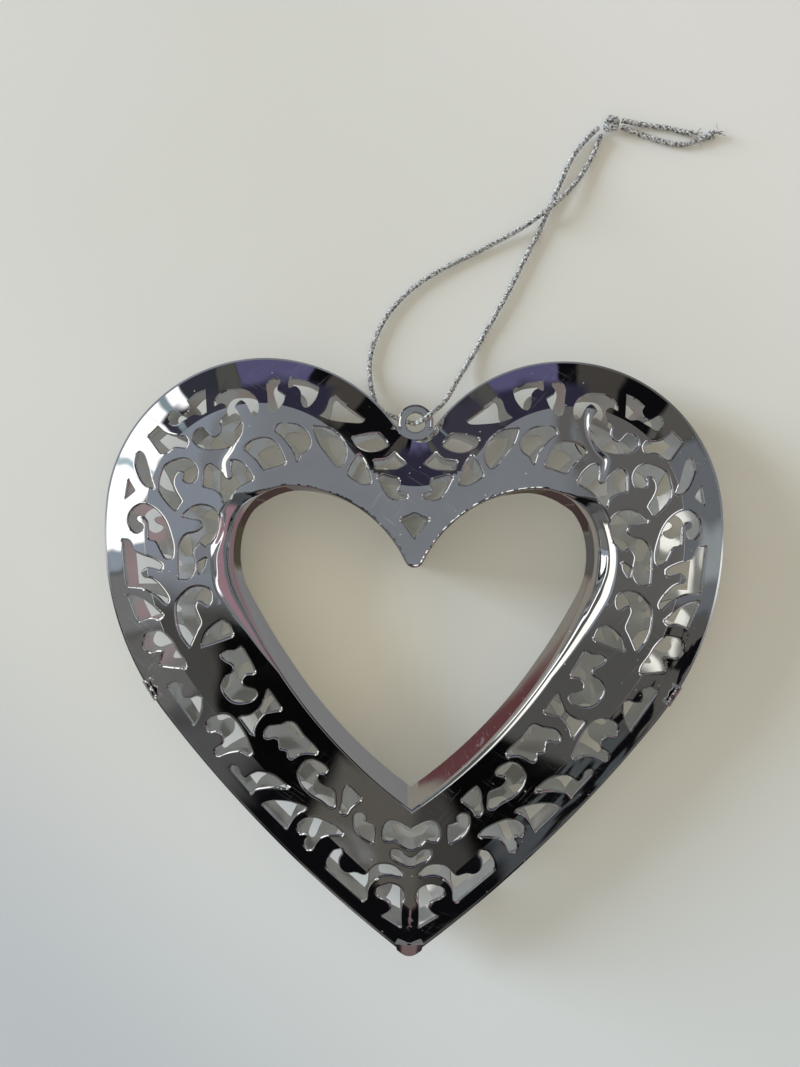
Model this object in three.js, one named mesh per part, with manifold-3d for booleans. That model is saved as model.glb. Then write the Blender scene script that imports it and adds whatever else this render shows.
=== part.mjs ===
// Heart ornament: two pressed and pierced chrome half-shells, crimped rim to rim, on a tied metallic cord.
// Millimetres. It lies flat on its back: +Z out of the front face, +Y towards the hanging lug.
import * as THREE from 'three';
import { mergeVertices } from 'three/addons/utils/BufferGeometryUtils.js';
import Module from 'manifold-3d';

const wasm = await Module();
wasm.setup();
const DEG = Math.PI / 180;

// Width of the heart: both outlines below follow it
const WIDTH = 104.93;

// Sheet and section
const SHEET = 0.4;
const HALF_HEIGHT = 6.2;
const FLANGE = 1.2;
const BEVEL = 8.6;
// Shoulder radius between the face and the inner wall, by per cent of the way from notch to tip
const SHOULDER_PERCENTS = [0, 14, 28, 50, 64, 100];
const SHOULDER_RADII = [0.8, 1.0, 2.8, 2.8, 1.2, 1.0];

// Outer heart, right side, in per cent of the width: the lobe's centre, a fillet on the axis, then arcs that
// join in tangent at the given angles. The marks say how far from notch to tip each arc starts and ends.
const OUTER_PERCENTS = {
  lobe: [24.09, 22.47],
  fillet: 3.5,
  radii: [25.81, 48.38, 213.4],
  degrees: [5.45, -38.25],
  marks: [0, 9, 42, 61, 100],
};
// Heart-shaped opening, right side
const INNER_PERCENTS = {
  lobe: [19.72, 6.88],
  fillet: 1.56,
  radii: [20.35, 9.07, 14.93, 82.88],
  degrees: [92.7, 13.7, -24.3],
  marks: [0, 1, 9.5, 44.4, 53.5, 100],
};
// Sections round one side, as [up to per cent, steps]
const STATION_PERCENTS = [[1, 2], [9, 4], [9.5, 1], [42, 12], [44.4, 1], [53.5, 2], [61, 2], [100, 5]];

// Hanging lug, its hole's centre a little above the notch
const LUG_RISE = 2.58;
const LUG_DIAMETER = 6.2;
const LUG_HOLE = 3.3;
const LUG_SIDES = 28;

// Fold-over crimps that hold the rims together: two at the sides and one at the tip
const CRIMP_PERCENT = 58.5;
const CRIMP_LENGTH = 3.4;
const TIP_CRIMP_LENGTH = 1.6;
const CRIMP_SHEET = 0.35;
const CRIMP_LIP = 0.9;
const CRIMP_ROOT = 0.4;
const CRIMP_GAP = 0.3;
const CRIMP_REACH = CRIMP_GAP + CRIMP_SHEET;
// Half width of the block that trims the rim at the tip to make room for its crimp
const TIP_TRIM = 4;

// Pierced scrollwork. Each point is [per cent from notch to tip, per cent from rim to opening].
// S marks a sharp corner. Every cut-out is made on both sides of the heart and in both shells.
const S = true;
const CUT_SPAN = 2.6;
const CUT_MARGIN = 1;
const CUT_PERCENTS = {
  notch_fish: [[2.3, 26.5, S], [5, 24.5, S], [5.5, 35.5], [6.6, 45, S], [5.9, 52, S], [5.1, 47], [3.8, 38.5]],
  notch_drop: [
    [5.2, 59, S], [5, 54, S], [4.2, 51], [3.1, 46, S], [2.8, 47.5], [3, 54.5], [3.1, 58, S], [1.9, 52.5],
    [1.3, 51, S], [2.2, 59], [3.3, 67.5], [4, 67.5], [4.7, 63]],
  fan_petal_1: [
    [8.4, 46, S], [8, 58], [7.5, 71.5, S], [6.7, 74.5], [5.9, 74], [5.5, 69, S], [6.3, 59], [7.6, 49]],
  fan_petal_2: [
    [15.2, 47, S], [13.5, 55.5], [11.1, 60], [9.2, 63.5], [8.6, 66], [8.9, 56.5], [9.7, 47], [11.2, 43],
    [12.6, 42.5], [13.6, 43.5]],
  fan_petal_3: [
    [20.3, 56.5], [19.9, 52], [18.4, 50.5], [16.7, 51], [15.3, 54.5], [14.3, 60], [14.2, 65.5], [14.8, 70.5],
    [14.7, 77, S], [16.2, 70.5], [18.2, 63.5], [19.4, 59.5]],
  fan_petal_4: [
    [25.6, 66], [24.6, 63.5], [23.1, 62], [21.3, 62.5], [19.9, 66], [18.4, 73.5], [17.1, 80, S], [18.7, 82],
    [22.4, 84, S], [23.7, 76.5], [25.1, 69.5]],
  rim_petal_1: [
    [6.8, 21], [7.2, 19], [9.4, 16.5, S], [9.8, 23], [10.5, 36, S], [9.4, 38], [8.1, 38], [7.2, 31.5], [6.9, 25]],
  rim_petal_2: [
    [15.1, 16], [14.4, 17, S], [11.3, 16.5, S], [11.2, 21], [12.3, 30], [13.8, 36], [15.2, 37.5, S], [15, 30],
    [15.3, 19.5]],
  rim_tooth_1: [
    [16.7, 16, S], [18.1, 14.5], [19.8, 15, S], [19.5, 23.5], [19, 21], [18.3, 24], [17.8, 32.5], [17.2, 36],
    [16.8, 34.5], [16.5, 26]],
  rim_tooth_2: [
    [21.8, 21], [21.2, 16.5], [20.5, 19], [20.7, 25], [19.6, 30, S], [19.8, 38], [20.7, 44.5, S], [21.2, 43],
    [21.6, 31.5]],
  arch_scroll: [
    [27.6, 31.5, S], [27.5, 28], [26.9, 24], [26.1, 22], [25.1, 23], [24.1, 25], [23.2, 29.5], [22.6, 36],
    [22.6, 42], [23, 46], [23.5, 44.5], [24.1, 35.5], [24.6, 33], [24.9, 34], [25.4, 37, S], [25.1, 41.5],
    [25, 48.5], [25.5, 55], [26.6, 59], [27.9, 60.5], [29.5, 58.5], [31, 54], [31.7, 48.5], [31.6, 42.5],
    [30.8, 40.5], [30, 41], [29.5, 50], [28.9, 51], [28.2, 50], [27.7, 46], [27.6, 42], [26.9, 40.5],
    [26.3, 36.5], [26.4, 33], [26.8, 31]],
  rim_hook: [
    [30, 16.5, S], [28.9, 15], [27.9, 15.5, S], [28.6, 33, S], [29.3, 33], [30, 29.5], [31.1, 28.5], [32.3, 25.5],
    [32.5, 20], [32.3, 16], [31.7, 15], [31.1, 23], [30.5, 24], [30, 21.5]],
  bracket: [
    [33.7, 17, S], [35, 15.5, S], [35.2, 23], [35.5, 32, S], [35.1, 35.5], [34, 37.5], [33.1, 43.5, S],
    [32.4, 42], [32.2, 38.5, S], [33.1, 32], [33.6, 24.5]],
  rim_leaf: [[36.8, 15.5], [36.7, 19.5], [37.6, 29], [39.4, 39, S], [39.4, 31.5], [38.7, 23.5], [37.8, 17]],
  rim_triangle: [[39.6, 16.5, S], [40.4, 24.5, S], [41.4, 17.5, S]],
  c_scroll: [
    [39.2, 42.5], [37.8, 40.5], [36.4, 40], [35.2, 43.5], [34.2, 48.5], [33.9, 54.5], [34.5, 60], [35.9, 62],
    [36.7, 59], [36.7, 55.5], [35.7, 53], [35.9, 49.5], [36.9, 48.5], [37.9, 50], [38.6, 53], [39.8, 59.5, S],
    [41.4, 57, S], [40.7, 51.5], [39.9, 46]],
  butterfly: [
    [34.4, 65.5], [33.3, 62.5], [32.3, 62.5], [31.9, 66], [31.6, 73], [31.8, 76], [31.2, 79.5], [30.3, 79],
    [29.3, 74], [28.4, 70, S], [27.4, 73], [26.3, 80], [25.7, 87.5, S], [30, 87], [32.3, 87], [35, 88],
    [36.3, 86, S], [35.1, 82.5], [34.9, 77.5], [35.8, 69, S]],
  g_scroll: [
    [41.8, 29.5], [42.5, 24], [43.4, 22], [44.1, 24], [44.7, 29.5], [44.5, 34], [44, 35.5], [43.6, 31],
    [43.2, 29], [42.8, 31.5], [42.9, 36], [43.4, 39], [44.4, 40], [45.3, 41], [45.5, 45.5], [46.5, 49.5],
    [47.3, 52.5], [47.4, 56.5], [46.5, 58], [44.9, 55.5], [43, 50.5], [41.8, 43], [41.5, 36]],
  three_scroll: [
    [42.1, 62.5, S], [40.6, 67], [39.4, 72.5], [39, 79.5], [40, 86], [42.5, 88.5], [45.4, 87], [46.4, 81, S],
    [45.9, 77.5], [46.8, 72.5], [48.1, 73], [49.1, 72.5], [49.9, 67.5], [49.7, 60.5, S], [47.9, 61.5],
    [46, 62.5], [45, 66.5], [44.7, 73.5], [43.7, 78], [42.3, 75.5], [42.2, 70]],
  seed: [[48.4, 75.5], [47.9, 81, S], [48.6, 80.5], [49.6, 75.5, S]],
  rim_bracket: [
    [45.3, 17, S], [45.5, 24], [46.4, 28], [46.8, 34.5], [47.2, 42], [48, 49.5], [48.5, 48.5, S], [48.2, 44],
    [48, 38.5], [48.4, 32.5], [48.9, 34], [49.2, 40.5], [50.1, 46], [51.6, 49.5], [51.9, 47, S], [50.8, 42],
    [49.9, 32], [49.4, 17, S]],
  rim_wedge: [
    [50.2, 16.5, S], [50.6, 25.5], [51.6, 35.5], [52.9, 42, S], [53.1, 38], [52.7, 30.5], [52.7, 19.5, S]],
  hooked_leaf: [
    [52.2, 55], [51.6, 60], [51.1, 67.5], [51.2, 74.5], [52, 80.5], [53.2, 78.5], [53.5, 75.5], [53, 73.5],
    [52.6, 70], [53.1, 66.5], [54.3, 66], [55.2, 65.5], [55.8, 61], [57, 51, S], [55.5, 49.5], [54, 50.5]],
  arch_leaf: [
    [57.7, 59.5, S], [56.7, 66], [56.3, 73], [56.3, 80], [57, 83], [58.7, 82.5, S], [58.4, 76], [58, 67]],
  rim_eye: [
    [54, 26], [54.2, 19], [54.9, 15], [55.6, 17.5], [55.8, 25], [56.2, 31], [56.5, 27], [57.1, 22], [57.6, 27],
    [58.7, 40.5, S], [58.2, 42], [56.8, 41], [55.4, 40], [54.4, 36]],
  inner_wave: [
    [59.9, 68], [60.7, 69], [61.4, 71], [62.1, 72], [62.8, 69], [62.6, 62], [62.8, 57.5], [63.4, 55],
    [64.3, 54.5], [65.4, 55.5], [66.5, 60], [67.5, 68.5], [67.5, 73.5], [66.9, 74], [66.2, 71.5], [65.2, 68.5],
    [64.5, 69], [64.2, 72.5], [64.3, 77], [65.1, 82, S], [64.2, 83], [60.8, 83.5, S], [60.6, 78], [60, 72]],
  rim_double_tooth: [
    [59.1, 17.5, S], [64, 15.5, S], [63.7, 24], [63.1, 32], [62.3, 37.5, S], [61.8, 35], [61.4, 28],
    [60.8, 23.5], [60.3, 25], [59.8, 30, S], [59.3, 26]],
  rim_swan: [
    [65, 32.5], [65.1, 25.5], [65.6, 23], [66.1, 25], [66.5, 29.5], [67.2, 31.5], [67.8, 30], [68.2, 26],
    [67.9, 17.5], [68.1, 14.5], [68.6, 14.5], [69, 20.5], [69.6, 28], [70.5, 35.5], [71.8, 40], [71.8, 43, S],
    [69.3, 47.5], [67.6, 48], [66.3, 46], [65.5, 41]],
  bow: [
    [67.8, 53, S], [70.5, 52.5, S], [70.1, 57.5], [70, 63.5], [70.2, 70.5], [71, 76.5], [72, 82.5, S],
    [68.5, 83, S], [69, 76.5], [69.3, 70], [69, 63], [68.4, 57]],
  rim_leaf_low: [
    [70.8, 16, S], [74.6, 15, S], [74.7, 21], [75.6, 29.5], [76.6, 36.5], [78.5, 46, S], [76.2, 44], [75, 40.5],
    [74, 35.5], [73.4, 28.5], [73, 21], [72.1, 20], [71.4, 22.5], [70.8, 20]],
  rim_wedge_low: [
    [76.5, 16, S], [80.5, 16.5, S], [80.7, 27], [81, 34.5], [82, 45.5, S], [80.2, 41], [78.8, 35], [77.5, 27],
    [76.7, 19.5]],
  crab: [
    [72, 60], [72.3, 59], [72.8, 61], [73.5, 65.5], [74.2, 66.5], [75.1, 63], [75.6, 65], [76.2, 66],
    [76.7, 63.5], [77.2, 64], [77.6, 67.5], [78.2, 72.5], [79.2, 77.5], [80.6, 82, S], [80.4, 83.5], [77, 83],
    [75, 83.5], [74.2, 81], [73.6, 76], [72.7, 71], [72, 66]],
  bird: [
    [79.2, 64.5], [79.2, 60.5], [79.9, 57], [80.8, 56], [82.2, 56.5], [84, 59], [85.4, 60], [86, 62.5],
    [85.7, 66.5], [85.2, 70.5], [84.2, 69], [83.1, 67], [82.2, 67], [81.8, 69.5], [82.2, 73], [83.1, 77],
    [83.2, 79], [82.5, 79.5], [81.4, 78], [80.4, 75.5], [79.5, 70]],
  rim_hook_low: [
    [81.8, 28], [82, 24], [82.5, 23.5], [83.1, 28], [83.5, 27], [83.4, 20], [83.5, 17], [84, 16.5], [84.5, 19.5],
    [84.8, 28], [85.3, 36], [86.4, 43.5], [88.4, 51, S], [87.4, 51.5], [85.5, 49], [83.6, 44.5], [82.5, 38.5]],
  tip_bracket: [
    [87, 18.5], [87.2, 15.5, S], [92.9, 15.5, S], [93.3, 20], [93.3, 28], [93.6, 34], [94.4, 42], [95.3, 47],
    [96.6, 51.5], [98.2, 55], [98.6, 57.5, S], [97.2, 58], [95.5, 54.5], [94.2, 49.5], [93.3, 43], [92.7, 37.5],
    [91.9, 35], [91.2, 33], [90.5, 29], [89.8, 26], [89.1, 25.5], [88.6, 28], [88.5, 34], [88.8, 39],
    [88.5, 41, S], [87.7, 36], [87.2, 28]],
  tip_anchor: [
    [95.9, 17, S], [98.6, 19.5, S], [98.5, 27.5], [98.5, 33.5], [98.6, 38.5], [98.9, 43.5], [98.9, 46.5],
    [98.4, 48], [97.6, 47.5], [96.5, 45], [95.5, 40.5], [94.8, 35.5], [94.7, 31], [95.1, 30, S], [96, 32],
    [96.7, 32.5], [97.1, 29.5], [96.9, 25.5], [96.4, 21]],
  tip_leaf: [
    [90.4, 72.5], [89.7, 69.5], [89.7, 65], [90.3, 61], [91.6, 60], [93.2, 61.5, S], [93.2, 68], [93, 72.5, S],
    [91.9, 70.5], [91.3, 70], [91.3, 73.5]],
  trapezoid: [
    [87.2, 65.5], [87.7, 63], [88.2, 65], [88.5, 69.5], [89.2, 75], [90.2, 81.5, S], [88.5, 82], [87.2, 81.5, S],
    [87, 76], [87.2, 70]],
};
// Cut-outs that cross the middle: the right half of each outline
const AXIS_CUT_PERCENTS = {
  diamond: [[0, 59.5], [1, 64.5], [2, 75, S], [0, 78, S]],
  mask: [
    [100, 88, S], [99, 87.5], [97.8, 86.5], [96, 83.5], [95.1, 78], [94.9, 72.5], [95.4, 69.5], [96.4, 72],
    [97.2, 75], [98, 74.5], [98.8, 74.5], [100, 76]],
  smile: [
    [100, 70.5], [99, 69.5], [98.3, 70], [97.4, 69], [96.7, 67], [96.6, 64], [97.3, 62.5], [98.3, 63.5],
    [100, 66]],
};

// Cord: twisted metallic cord as photographed, lying on the table, threaded up through the lug.
// Each point is [mm right of the lug's hole, mm beyond it, per cent of the climb from the table to the rim].
const CORD_DIAMETER = 0.9;
const CORD_SIDES = 8;
const CORD_STEP = 2.2;
const TABLE_GAP = 0.1;
const STRAND_LEFT = [
  [0.1, -0.1, 87], [-0.7, 0.1, 77], [-1.8, 0.5, 69], [-3.5, 1.2, 59], [-5.3, 2.2, 43], [-6.7, 3.6, 25],
  [-7.7, 6.6, 6], [-8.1, 10, 0], [-7.9, 12.9, 0], [-6.7, 16.7, 0], [-4.8, 20.1, 0], [-1.1, 24.2, 0],
  [3.8, 27.6, 0], [11.2, 31.4, 0], [18.4, 35.3, 7], [23.1, 38.5, 20], [27.8, 43.3, 7], [30.7, 48, 0],
  [32.3, 52, 4]];
const STRAND_RIGHT = [
  [0.2, -0.1, 100], [0.8, 0.1, 109], [1.7, 0.6, 110], [2.7, 1.5, 106], [4.9, 3.7, 75], [7.7, 8.7, 17],
  [10.5, 13.5, 0], [13.8, 19.6, 0], [16.2, 23.9, 0], [19.2, 30.1, 0], [21.4, 34.4, 0], [23.3, 38.9, 0],
  [25.4, 43.8, 0], [27.5, 48.3, 0], [29.9, 51.4, 1], [31.8, 53.2, 6]];
const TAIL_SHORT = [[36, 54.5, 6], [40, 54, 0], [44.4, 53.4, 0], [47.3, 52.7, 0], [48.5, 52.6, 0]];
const TAIL_LONG = [
  [36, 53.3, 6], [39.1, 52.4, 0], [43.2, 51.1, 0], [46.9, 50.6, 0], [49.7, 51.4, 0], [52.2, 52.5, 0]];
const KNOT_AT = [34, 53.7];
const KNOT_RADII = [1.7, 1.5, 1.15];
const KNOT_SIDES = 14;
const KNOT_RINGS = 9;

// Points closer than this are welded
const WELD = 1e-4;

// Arcs of one side of a heart, from the notch on the axis to the tip on the axis
function heartArcs({ lobe, fillet, radii, degrees, marks }) {
  const reach = radii[0] + fillet;
  const start = Math.acos(-lobe[0] / reach);
  const notch = lobe[1] + reach * Math.sin(start);
  const arcs = [{ x: 0, y: notch, r: fillet, from: -Math.PI / 2, to: start - Math.PI, hollow: true }];
  let [x, y] = lobe;
  let from = start;
  degrees.forEach((joint, i) => {
    const to = joint * DEG;
    const shift = radii[i] - radii[i + 1];
    arcs.push({ x, y, r: radii[i], from, to });
    x += shift * Math.cos(to);
    y += shift * Math.sin(to);
    from = to;
  });
  arcs.push({ x, y, r: radii[degrees.length], from, to: 0, last: true });
  const mm = WIDTH / 100;
  return arcs.map((arc, i) => (
    { ...arc, x: arc.x * mm, y: arc.y * mm, r: arc.r * mm, begin: marks[i], end: marks[i + 1] }));
}

// Point on a heart outline, drawn in by a given inset (negative moves it outwards)
function along(arcs, percent, inset = 0) {
  const gone = arcs[0].r + inset <= 0;
  let arc = arcs.find((a) => percent <= a.end + WELD);
  if (arc.hollow && gone) arc = arcs[1];
  const r = arc.hollow ? arc.r + inset : arc.r - inset;
  const from = gone && arc === arcs[1] ? Math.acos(-arc.x / r) : arc.from;
  const to = arc.last ? -Math.acos(-arc.x / r) : arc.to;
  const part = Math.max(0, (percent - arc.begin) / (arc.end - arc.begin));
  const angle = from + (to - from) * part;
  return [arc.x + r * Math.cos(angle), arc.y + r * Math.sin(angle)];
}

const outer = heartArcs(OUTER_PERCENTS);
const inner = heartArcs(INNER_PERCENTS);
const TIP_Y = along(outer, 100)[1];
const TOP_Y = outer[1].y + outer[1].r;
const MIDDLE_Y = (TIP_Y + TOP_Y) / 2;
const LUG_Y = along(outer, 0)[1] + LUG_RISE;

function shoulderAt(percent) {
  const k = Math.max(1, SHOULDER_PERCENTS.findIndex((mark) => percent <= mark + WELD));
  const part = (percent - SHOULDER_PERCENTS[k - 1]) / (SHOULDER_PERCENTS[k] - SHOULDER_PERCENTS[k - 1]);
  return SHOULDER_RADII[k - 1] + (SHOULDER_RADII[k] - SHOULDER_RADII[k - 1]) * part;
}

// Section of the front shell at one station, anticlockwise: rim, bevel, face, shoulder, wall, then back inside
function section(percent) {
  const r = shoulderAt(percent);
  const slope = Math.atan2(HALF_HEIGHT - SHEET, BEVEL - FLANGE);
  const bend = SHEET * Math.tan(slope / 2);
  const q = Math.SQRT1_2;
  const fromRim = (inset, z) => [...along(outer, percent, inset), z];
  const fromOpening = (depth, z) => [...along(inner, percent, -depth), z];
  return [
    fromRim(0, 0),
    fromRim(0, SHEET),
    fromRim(FLANGE, SHEET),
    fromRim(BEVEL, HALF_HEIGHT),
    fromOpening(r, HALF_HEIGHT),
    fromOpening(r - r * q, HALF_HEIGHT - r + r * q),
    fromOpening(0, HALF_HEIGHT - r),
    fromOpening(0, 0),
    fromOpening(SHEET, 0),
    fromOpening(SHEET, HALF_HEIGHT - r),
    fromOpening(r - (r - SHEET) * q, HALF_HEIGHT - r + (r - SHEET) * q),
    fromOpening(r, HALF_HEIGHT - SHEET),
    fromRim(BEVEL + bend, HALF_HEIGHT - SHEET),
    fromRim(FLANGE + bend, 0),
  ];
}

function stations() {
  const list = [0];
  for (const [end, steps] of STATION_PERCENTS) {
    const begin = list[list.length - 1];
    for (let i = 1; i <= steps; i += 1) list.push(begin + ((end - begin) * i) / steps);
  }
  return list;
}

// Closed ring through the sections of both sides
function ringGeometry() {
  const right = stations().map(section);
  const left = right.slice(1, -1).reverse().map((row) => row.map(([x, y, z]) => [-x, y, z]));
  const rows = [...right, ...left];
  const count = rows[0].length;
  const index = [];
  for (let i = 0; i < rows.length; i += 1) {
    const j = (i + 1) % rows.length;
    for (let k = 0; k < count; k += 1) {
      const m = (k + 1) % count;
      index.push(i * count + k, j * count + m, j * count + k, i * count + k, i * count + m, j * count + m);
    }
  }
  const geometry = new THREE.BufferGeometry();
  geometry.setAttribute('position', new THREE.Float32BufferAttribute(rows.flat(2), 3));
  geometry.setIndex(index);
  return geometry;
}

// Closed outline through the points, rounded between the sharp corners
function outline(points) {
  const at = points.map(([x, y]) => new THREE.Vector3(x, y, 0));
  const n = points.length;
  const first = Math.max(0, points.findIndex((p) => p[2]));
  const corners = points.map((p, i) => i).filter((i) => points[(i + first) % n][2]);
  const order = at.map((p, i) => at[(i + first) % n]);
  const runs = corners.length
    ? corners.map((c, i) => [...order.slice(c, corners[i + 1] ?? n), order[corners[i + 1] ?? 0]])
    : [order];
  const out = [];
  for (const run of runs) {
    const closed = corners.length === 0;
    const curve = new THREE.CatmullRomCurve3(run, closed, 'centripetal');
    const spans = closed ? run.length : run.length - 1;
    for (let i = 0; i < spans; i += 1) {
      const straight = !closed && spans === 1;
      const length = run[i].distanceTo(run[(i + 1) % run.length]);
      const steps = straight ? 1 : Math.max(1, Math.round(length / CUT_SPAN));
      for (let k = 0; k < steps; k += 1) out.push(curve.getPoint((i + k / steps) / spans));
    }
  }
  return out.map((p) => new THREE.Vector2(p.x, p.y));
}

function onBand([percent, across]) {
  const [ox, oy] = along(outer, percent);
  const [ix, iy] = along(inner, percent);
  const w = across / 100;
  return [ox + (ix - ox) * w, oy + (iy - oy) * w];
}

function prism(points, low, high) {
  const ring = THREE.ShapeUtils.isClockWise(points) ? points.slice().reverse() : points;
  const geometry = new THREE.ExtrudeGeometry(new THREE.Shape(ring), { depth: high - low, bevelEnabled: false });
  return geometry.translate(0, 0, low);
}

function welded(geometry) {
  geometry.deleteAttribute('normal');
  geometry.deleteAttribute('uv');
  return mergeVertices(geometry, WELD);
}

function toSolid(geometry) {
  const merged = welded(geometry);
  const position = merged.getAttribute('position');
  return new wasm.Manifold(new wasm.Mesh({
    numProp: 3,
    vertProperties: new Float32Array(position.array),
    triVerts: new Uint32Array(merged.getIndex().array),
  }));
}

function toGeometry(solid) {
  const { vertProperties, triVerts } = solid.getMesh();
  const geometry = new THREE.BufferGeometry();
  geometry.setAttribute('position', new THREE.Float32BufferAttribute(vertProperties, 3));
  geometry.setIndex(new THREE.Uint32BufferAttribute(triVerts, 1));
  return geometry;
}

// Mirror image in the rim plane, with its faces still pointing out
function turnedOver(geometry) {
  const turned = geometry.clone().scale(1, 1, -1);
  const index = turned.getIndex().array;
  for (let i = 0; i < index.length; i += 3) [index[i], index[i + 1]] = [index[i + 1], index[i]];
  return turned;
}

function cutters() {
  const low = -CUT_MARGIN;
  const high = HALF_HEIGHT + CUT_MARGIN;
  const solids = [];
  for (const points of Object.values(CUT_PERCENTS)) {
    const right = points.map((p) => [...onBand(p), p[2]]);
    for (const side of [1, -1]) {
      solids.push(toSolid(prism(outline(right.map(([x, y, sharp]) => [side * x, y, sharp])), low, high)));
    }
  }
  for (const points of Object.values(AXIS_CUT_PERCENTS)) {
    const right = points.map((p) => [...onBand(p), p[2]]);
    const left = right.slice(1, -1).reverse().map(([x, y, sharp]) => [-x, y, sharp]);
    solids.push(toSolid(prism(outline([...right, ...left]), low, high)));
  }
  return solids;
}

function lugSolid() {
  const shape = new THREE.Shape().absarc(0, 0, LUG_DIAMETER / 2, 0, 2 * Math.PI);
  shape.holes.push(new THREE.Path().absarc(0, 0, LUG_HOLE / 2, 0, 2 * Math.PI));
  const settings = { depth: SHEET, bevelEnabled: false, curveSegments: LUG_SIDES };
  return toSolid(new THREE.ExtrudeGeometry(shape, settings).translate(0, LUG_Y, 0));
}

// One pressed half: the ring with its lug, trimmed at the tip for the crimp, pierced right through
function pressedHalf() {
  const trim = new THREE.BoxGeometry(2 * TIP_TRIM, 2 * TIP_TRIM, 4 * HALF_HEIGHT);
  trim.translate(0, TIP_Y + CRIMP_REACH - TIP_TRIM, 0);
  let solid = toSolid(ringGeometry()).add(lugSolid()).subtract(toSolid(trim));
  for (const cutter of cutters()) solid = solid.subtract(cutter);
  return solid;
}

// Hook-shaped strip grown from the back flange, round the rim and down on to the front flange
function crimpSolid(point, angle, length) {
  const top = SHEET + CRIMP_SHEET;
  const hook = [
    [-CRIMP_ROOT, -SHEET], [CRIMP_REACH, -SHEET], [CRIMP_REACH, top], [-CRIMP_LIP, top],
    [-CRIMP_LIP, SHEET], [CRIMP_GAP, SHEET], [CRIMP_GAP, 0], [-CRIMP_ROOT, 0]];
  const geometry = prism(hook.map(([x, y]) => new THREE.Vector2(x, y)), -length / 2, length / 2);
  geometry.rotateX(90 * DEG);
  geometry.rotateZ(angle);
  geometry.translate(point[0], point[1], 0);
  return toSolid(geometry);
}

function sideCrimp(side) {
  const [x, y] = along(outer, CRIMP_PERCENT);
  const arc = outer.find((a) => CRIMP_PERCENT <= a.end);
  const angle = Math.atan2(y - arc.y, x - arc.x);
  return crimpSolid([side * x, y], side > 0 ? angle : Math.PI - angle, CRIMP_LENGTH);
}

function cordTube(points) {
  const level = CORD_DIAMETER / 2 + TABLE_GAP;
  const at = points.map(([x, y, climb]) => new THREE.Vector3(x, y, level + (climb / 100) * HALF_HEIGHT));
  const path = new THREE.CatmullRomCurve3(at, false, 'centripetal');
  const round = new THREE.Shape();
  for (let i = 0; i < CORD_SIDES; i += 1) {
    const angle = (i * 2 * Math.PI) / CORD_SIDES;
    const [x, y] = [Math.cos(angle), Math.sin(angle)].map((v) => (v * CORD_DIAMETER) / 2);
    if (i === 0) round.moveTo(x, y);
    else round.lineTo(x, y);
  }
  const steps = Math.round(path.getLength() / CORD_STEP);
  return new THREE.ExtrudeGeometry(round, { steps, extrudePath: path, bevelEnabled: false });
}

function knotLump() {
  const lump = new THREE.SphereGeometry(1, KNOT_SIDES, KNOT_RINGS).rotateX(90 * DEG).scale(...KNOT_RADII);
  return lump.translate(...KNOT_AT, KNOT_RADII[2] + TABLE_GAP);
}

const chrome = new THREE.MeshStandardMaterial({ color: 0xd6d7da, metalness: 1, roughness: 0.06 });
const chromeBack = new THREE.MeshStandardMaterial({ color: 0xd0d1d5, metalness: 1, roughness: 0.08 });
const lurex = new THREE.MeshStandardMaterial({ color: 0xb4b6ba, metalness: 0.6, roughness: 0.4 });

const object = new THREE.Group();
object.name = 'heart_ornament';
const shells = new THREE.Group();
shells.position.set(0, -MIDDLE_Y, HALF_HEIGHT);
const cord = new THREE.Group();
cord.position.set(0, LUG_Y - MIDDLE_Y, 0);
object.add(shells, cord);

function addNode(group, name, geometry, material) {
  const shape = welded(geometry);
  shape.computeVertexNormals();
  const mesh = new THREE.Mesh(shape, material);
  mesh.name = name;
  group.add(mesh);
}

const half = pressedHalf();
const crimps = [
  sideCrimp(1),
  sideCrimp(-1),
  crimpSolid([0, TIP_Y + CRIMP_REACH], -90 * DEG, TIP_CRIMP_LENGTH),
];
let back = toSolid(turnedOver(toGeometry(half)));
for (const crimp of crimps) back = back.add(crimp);

addNode(shells, 'front_shell', toGeometry(half), chrome);
addNode(shells, 'back_shell', toGeometry(back), chromeBack);

addNode(cord, 'cord_strand_left', cordTube(STRAND_LEFT), lurex);
addNode(cord, 'cord_strand_right', cordTube(STRAND_RIGHT), lurex);
addNode(cord, 'cord_knot', knotLump(), lurex);
addNode(cord, 'cord_tail_long', cordTube(TAIL_LONG), lurex);
addNode(cord, 'cord_tail_short', cordTube(TAIL_SHORT), lurex);

export default object;
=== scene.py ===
# Looks of the heart ornament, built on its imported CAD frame. Shapes are worked out in millimetres.
import math
import random

import bpy
import numpy as np
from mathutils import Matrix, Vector, geometry, kdtree


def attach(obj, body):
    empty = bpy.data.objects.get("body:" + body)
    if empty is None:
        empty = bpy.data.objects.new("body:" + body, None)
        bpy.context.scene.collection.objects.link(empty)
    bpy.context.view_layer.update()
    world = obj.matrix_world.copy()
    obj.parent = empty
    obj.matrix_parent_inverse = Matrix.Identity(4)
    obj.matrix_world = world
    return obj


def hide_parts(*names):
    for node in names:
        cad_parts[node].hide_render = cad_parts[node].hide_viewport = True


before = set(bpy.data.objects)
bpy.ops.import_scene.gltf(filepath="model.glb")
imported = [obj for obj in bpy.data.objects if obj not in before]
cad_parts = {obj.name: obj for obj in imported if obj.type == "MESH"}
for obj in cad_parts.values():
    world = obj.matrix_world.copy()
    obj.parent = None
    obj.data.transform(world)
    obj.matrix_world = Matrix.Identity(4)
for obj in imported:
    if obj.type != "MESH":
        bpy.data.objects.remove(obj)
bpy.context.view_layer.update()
MM = 0.001

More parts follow.
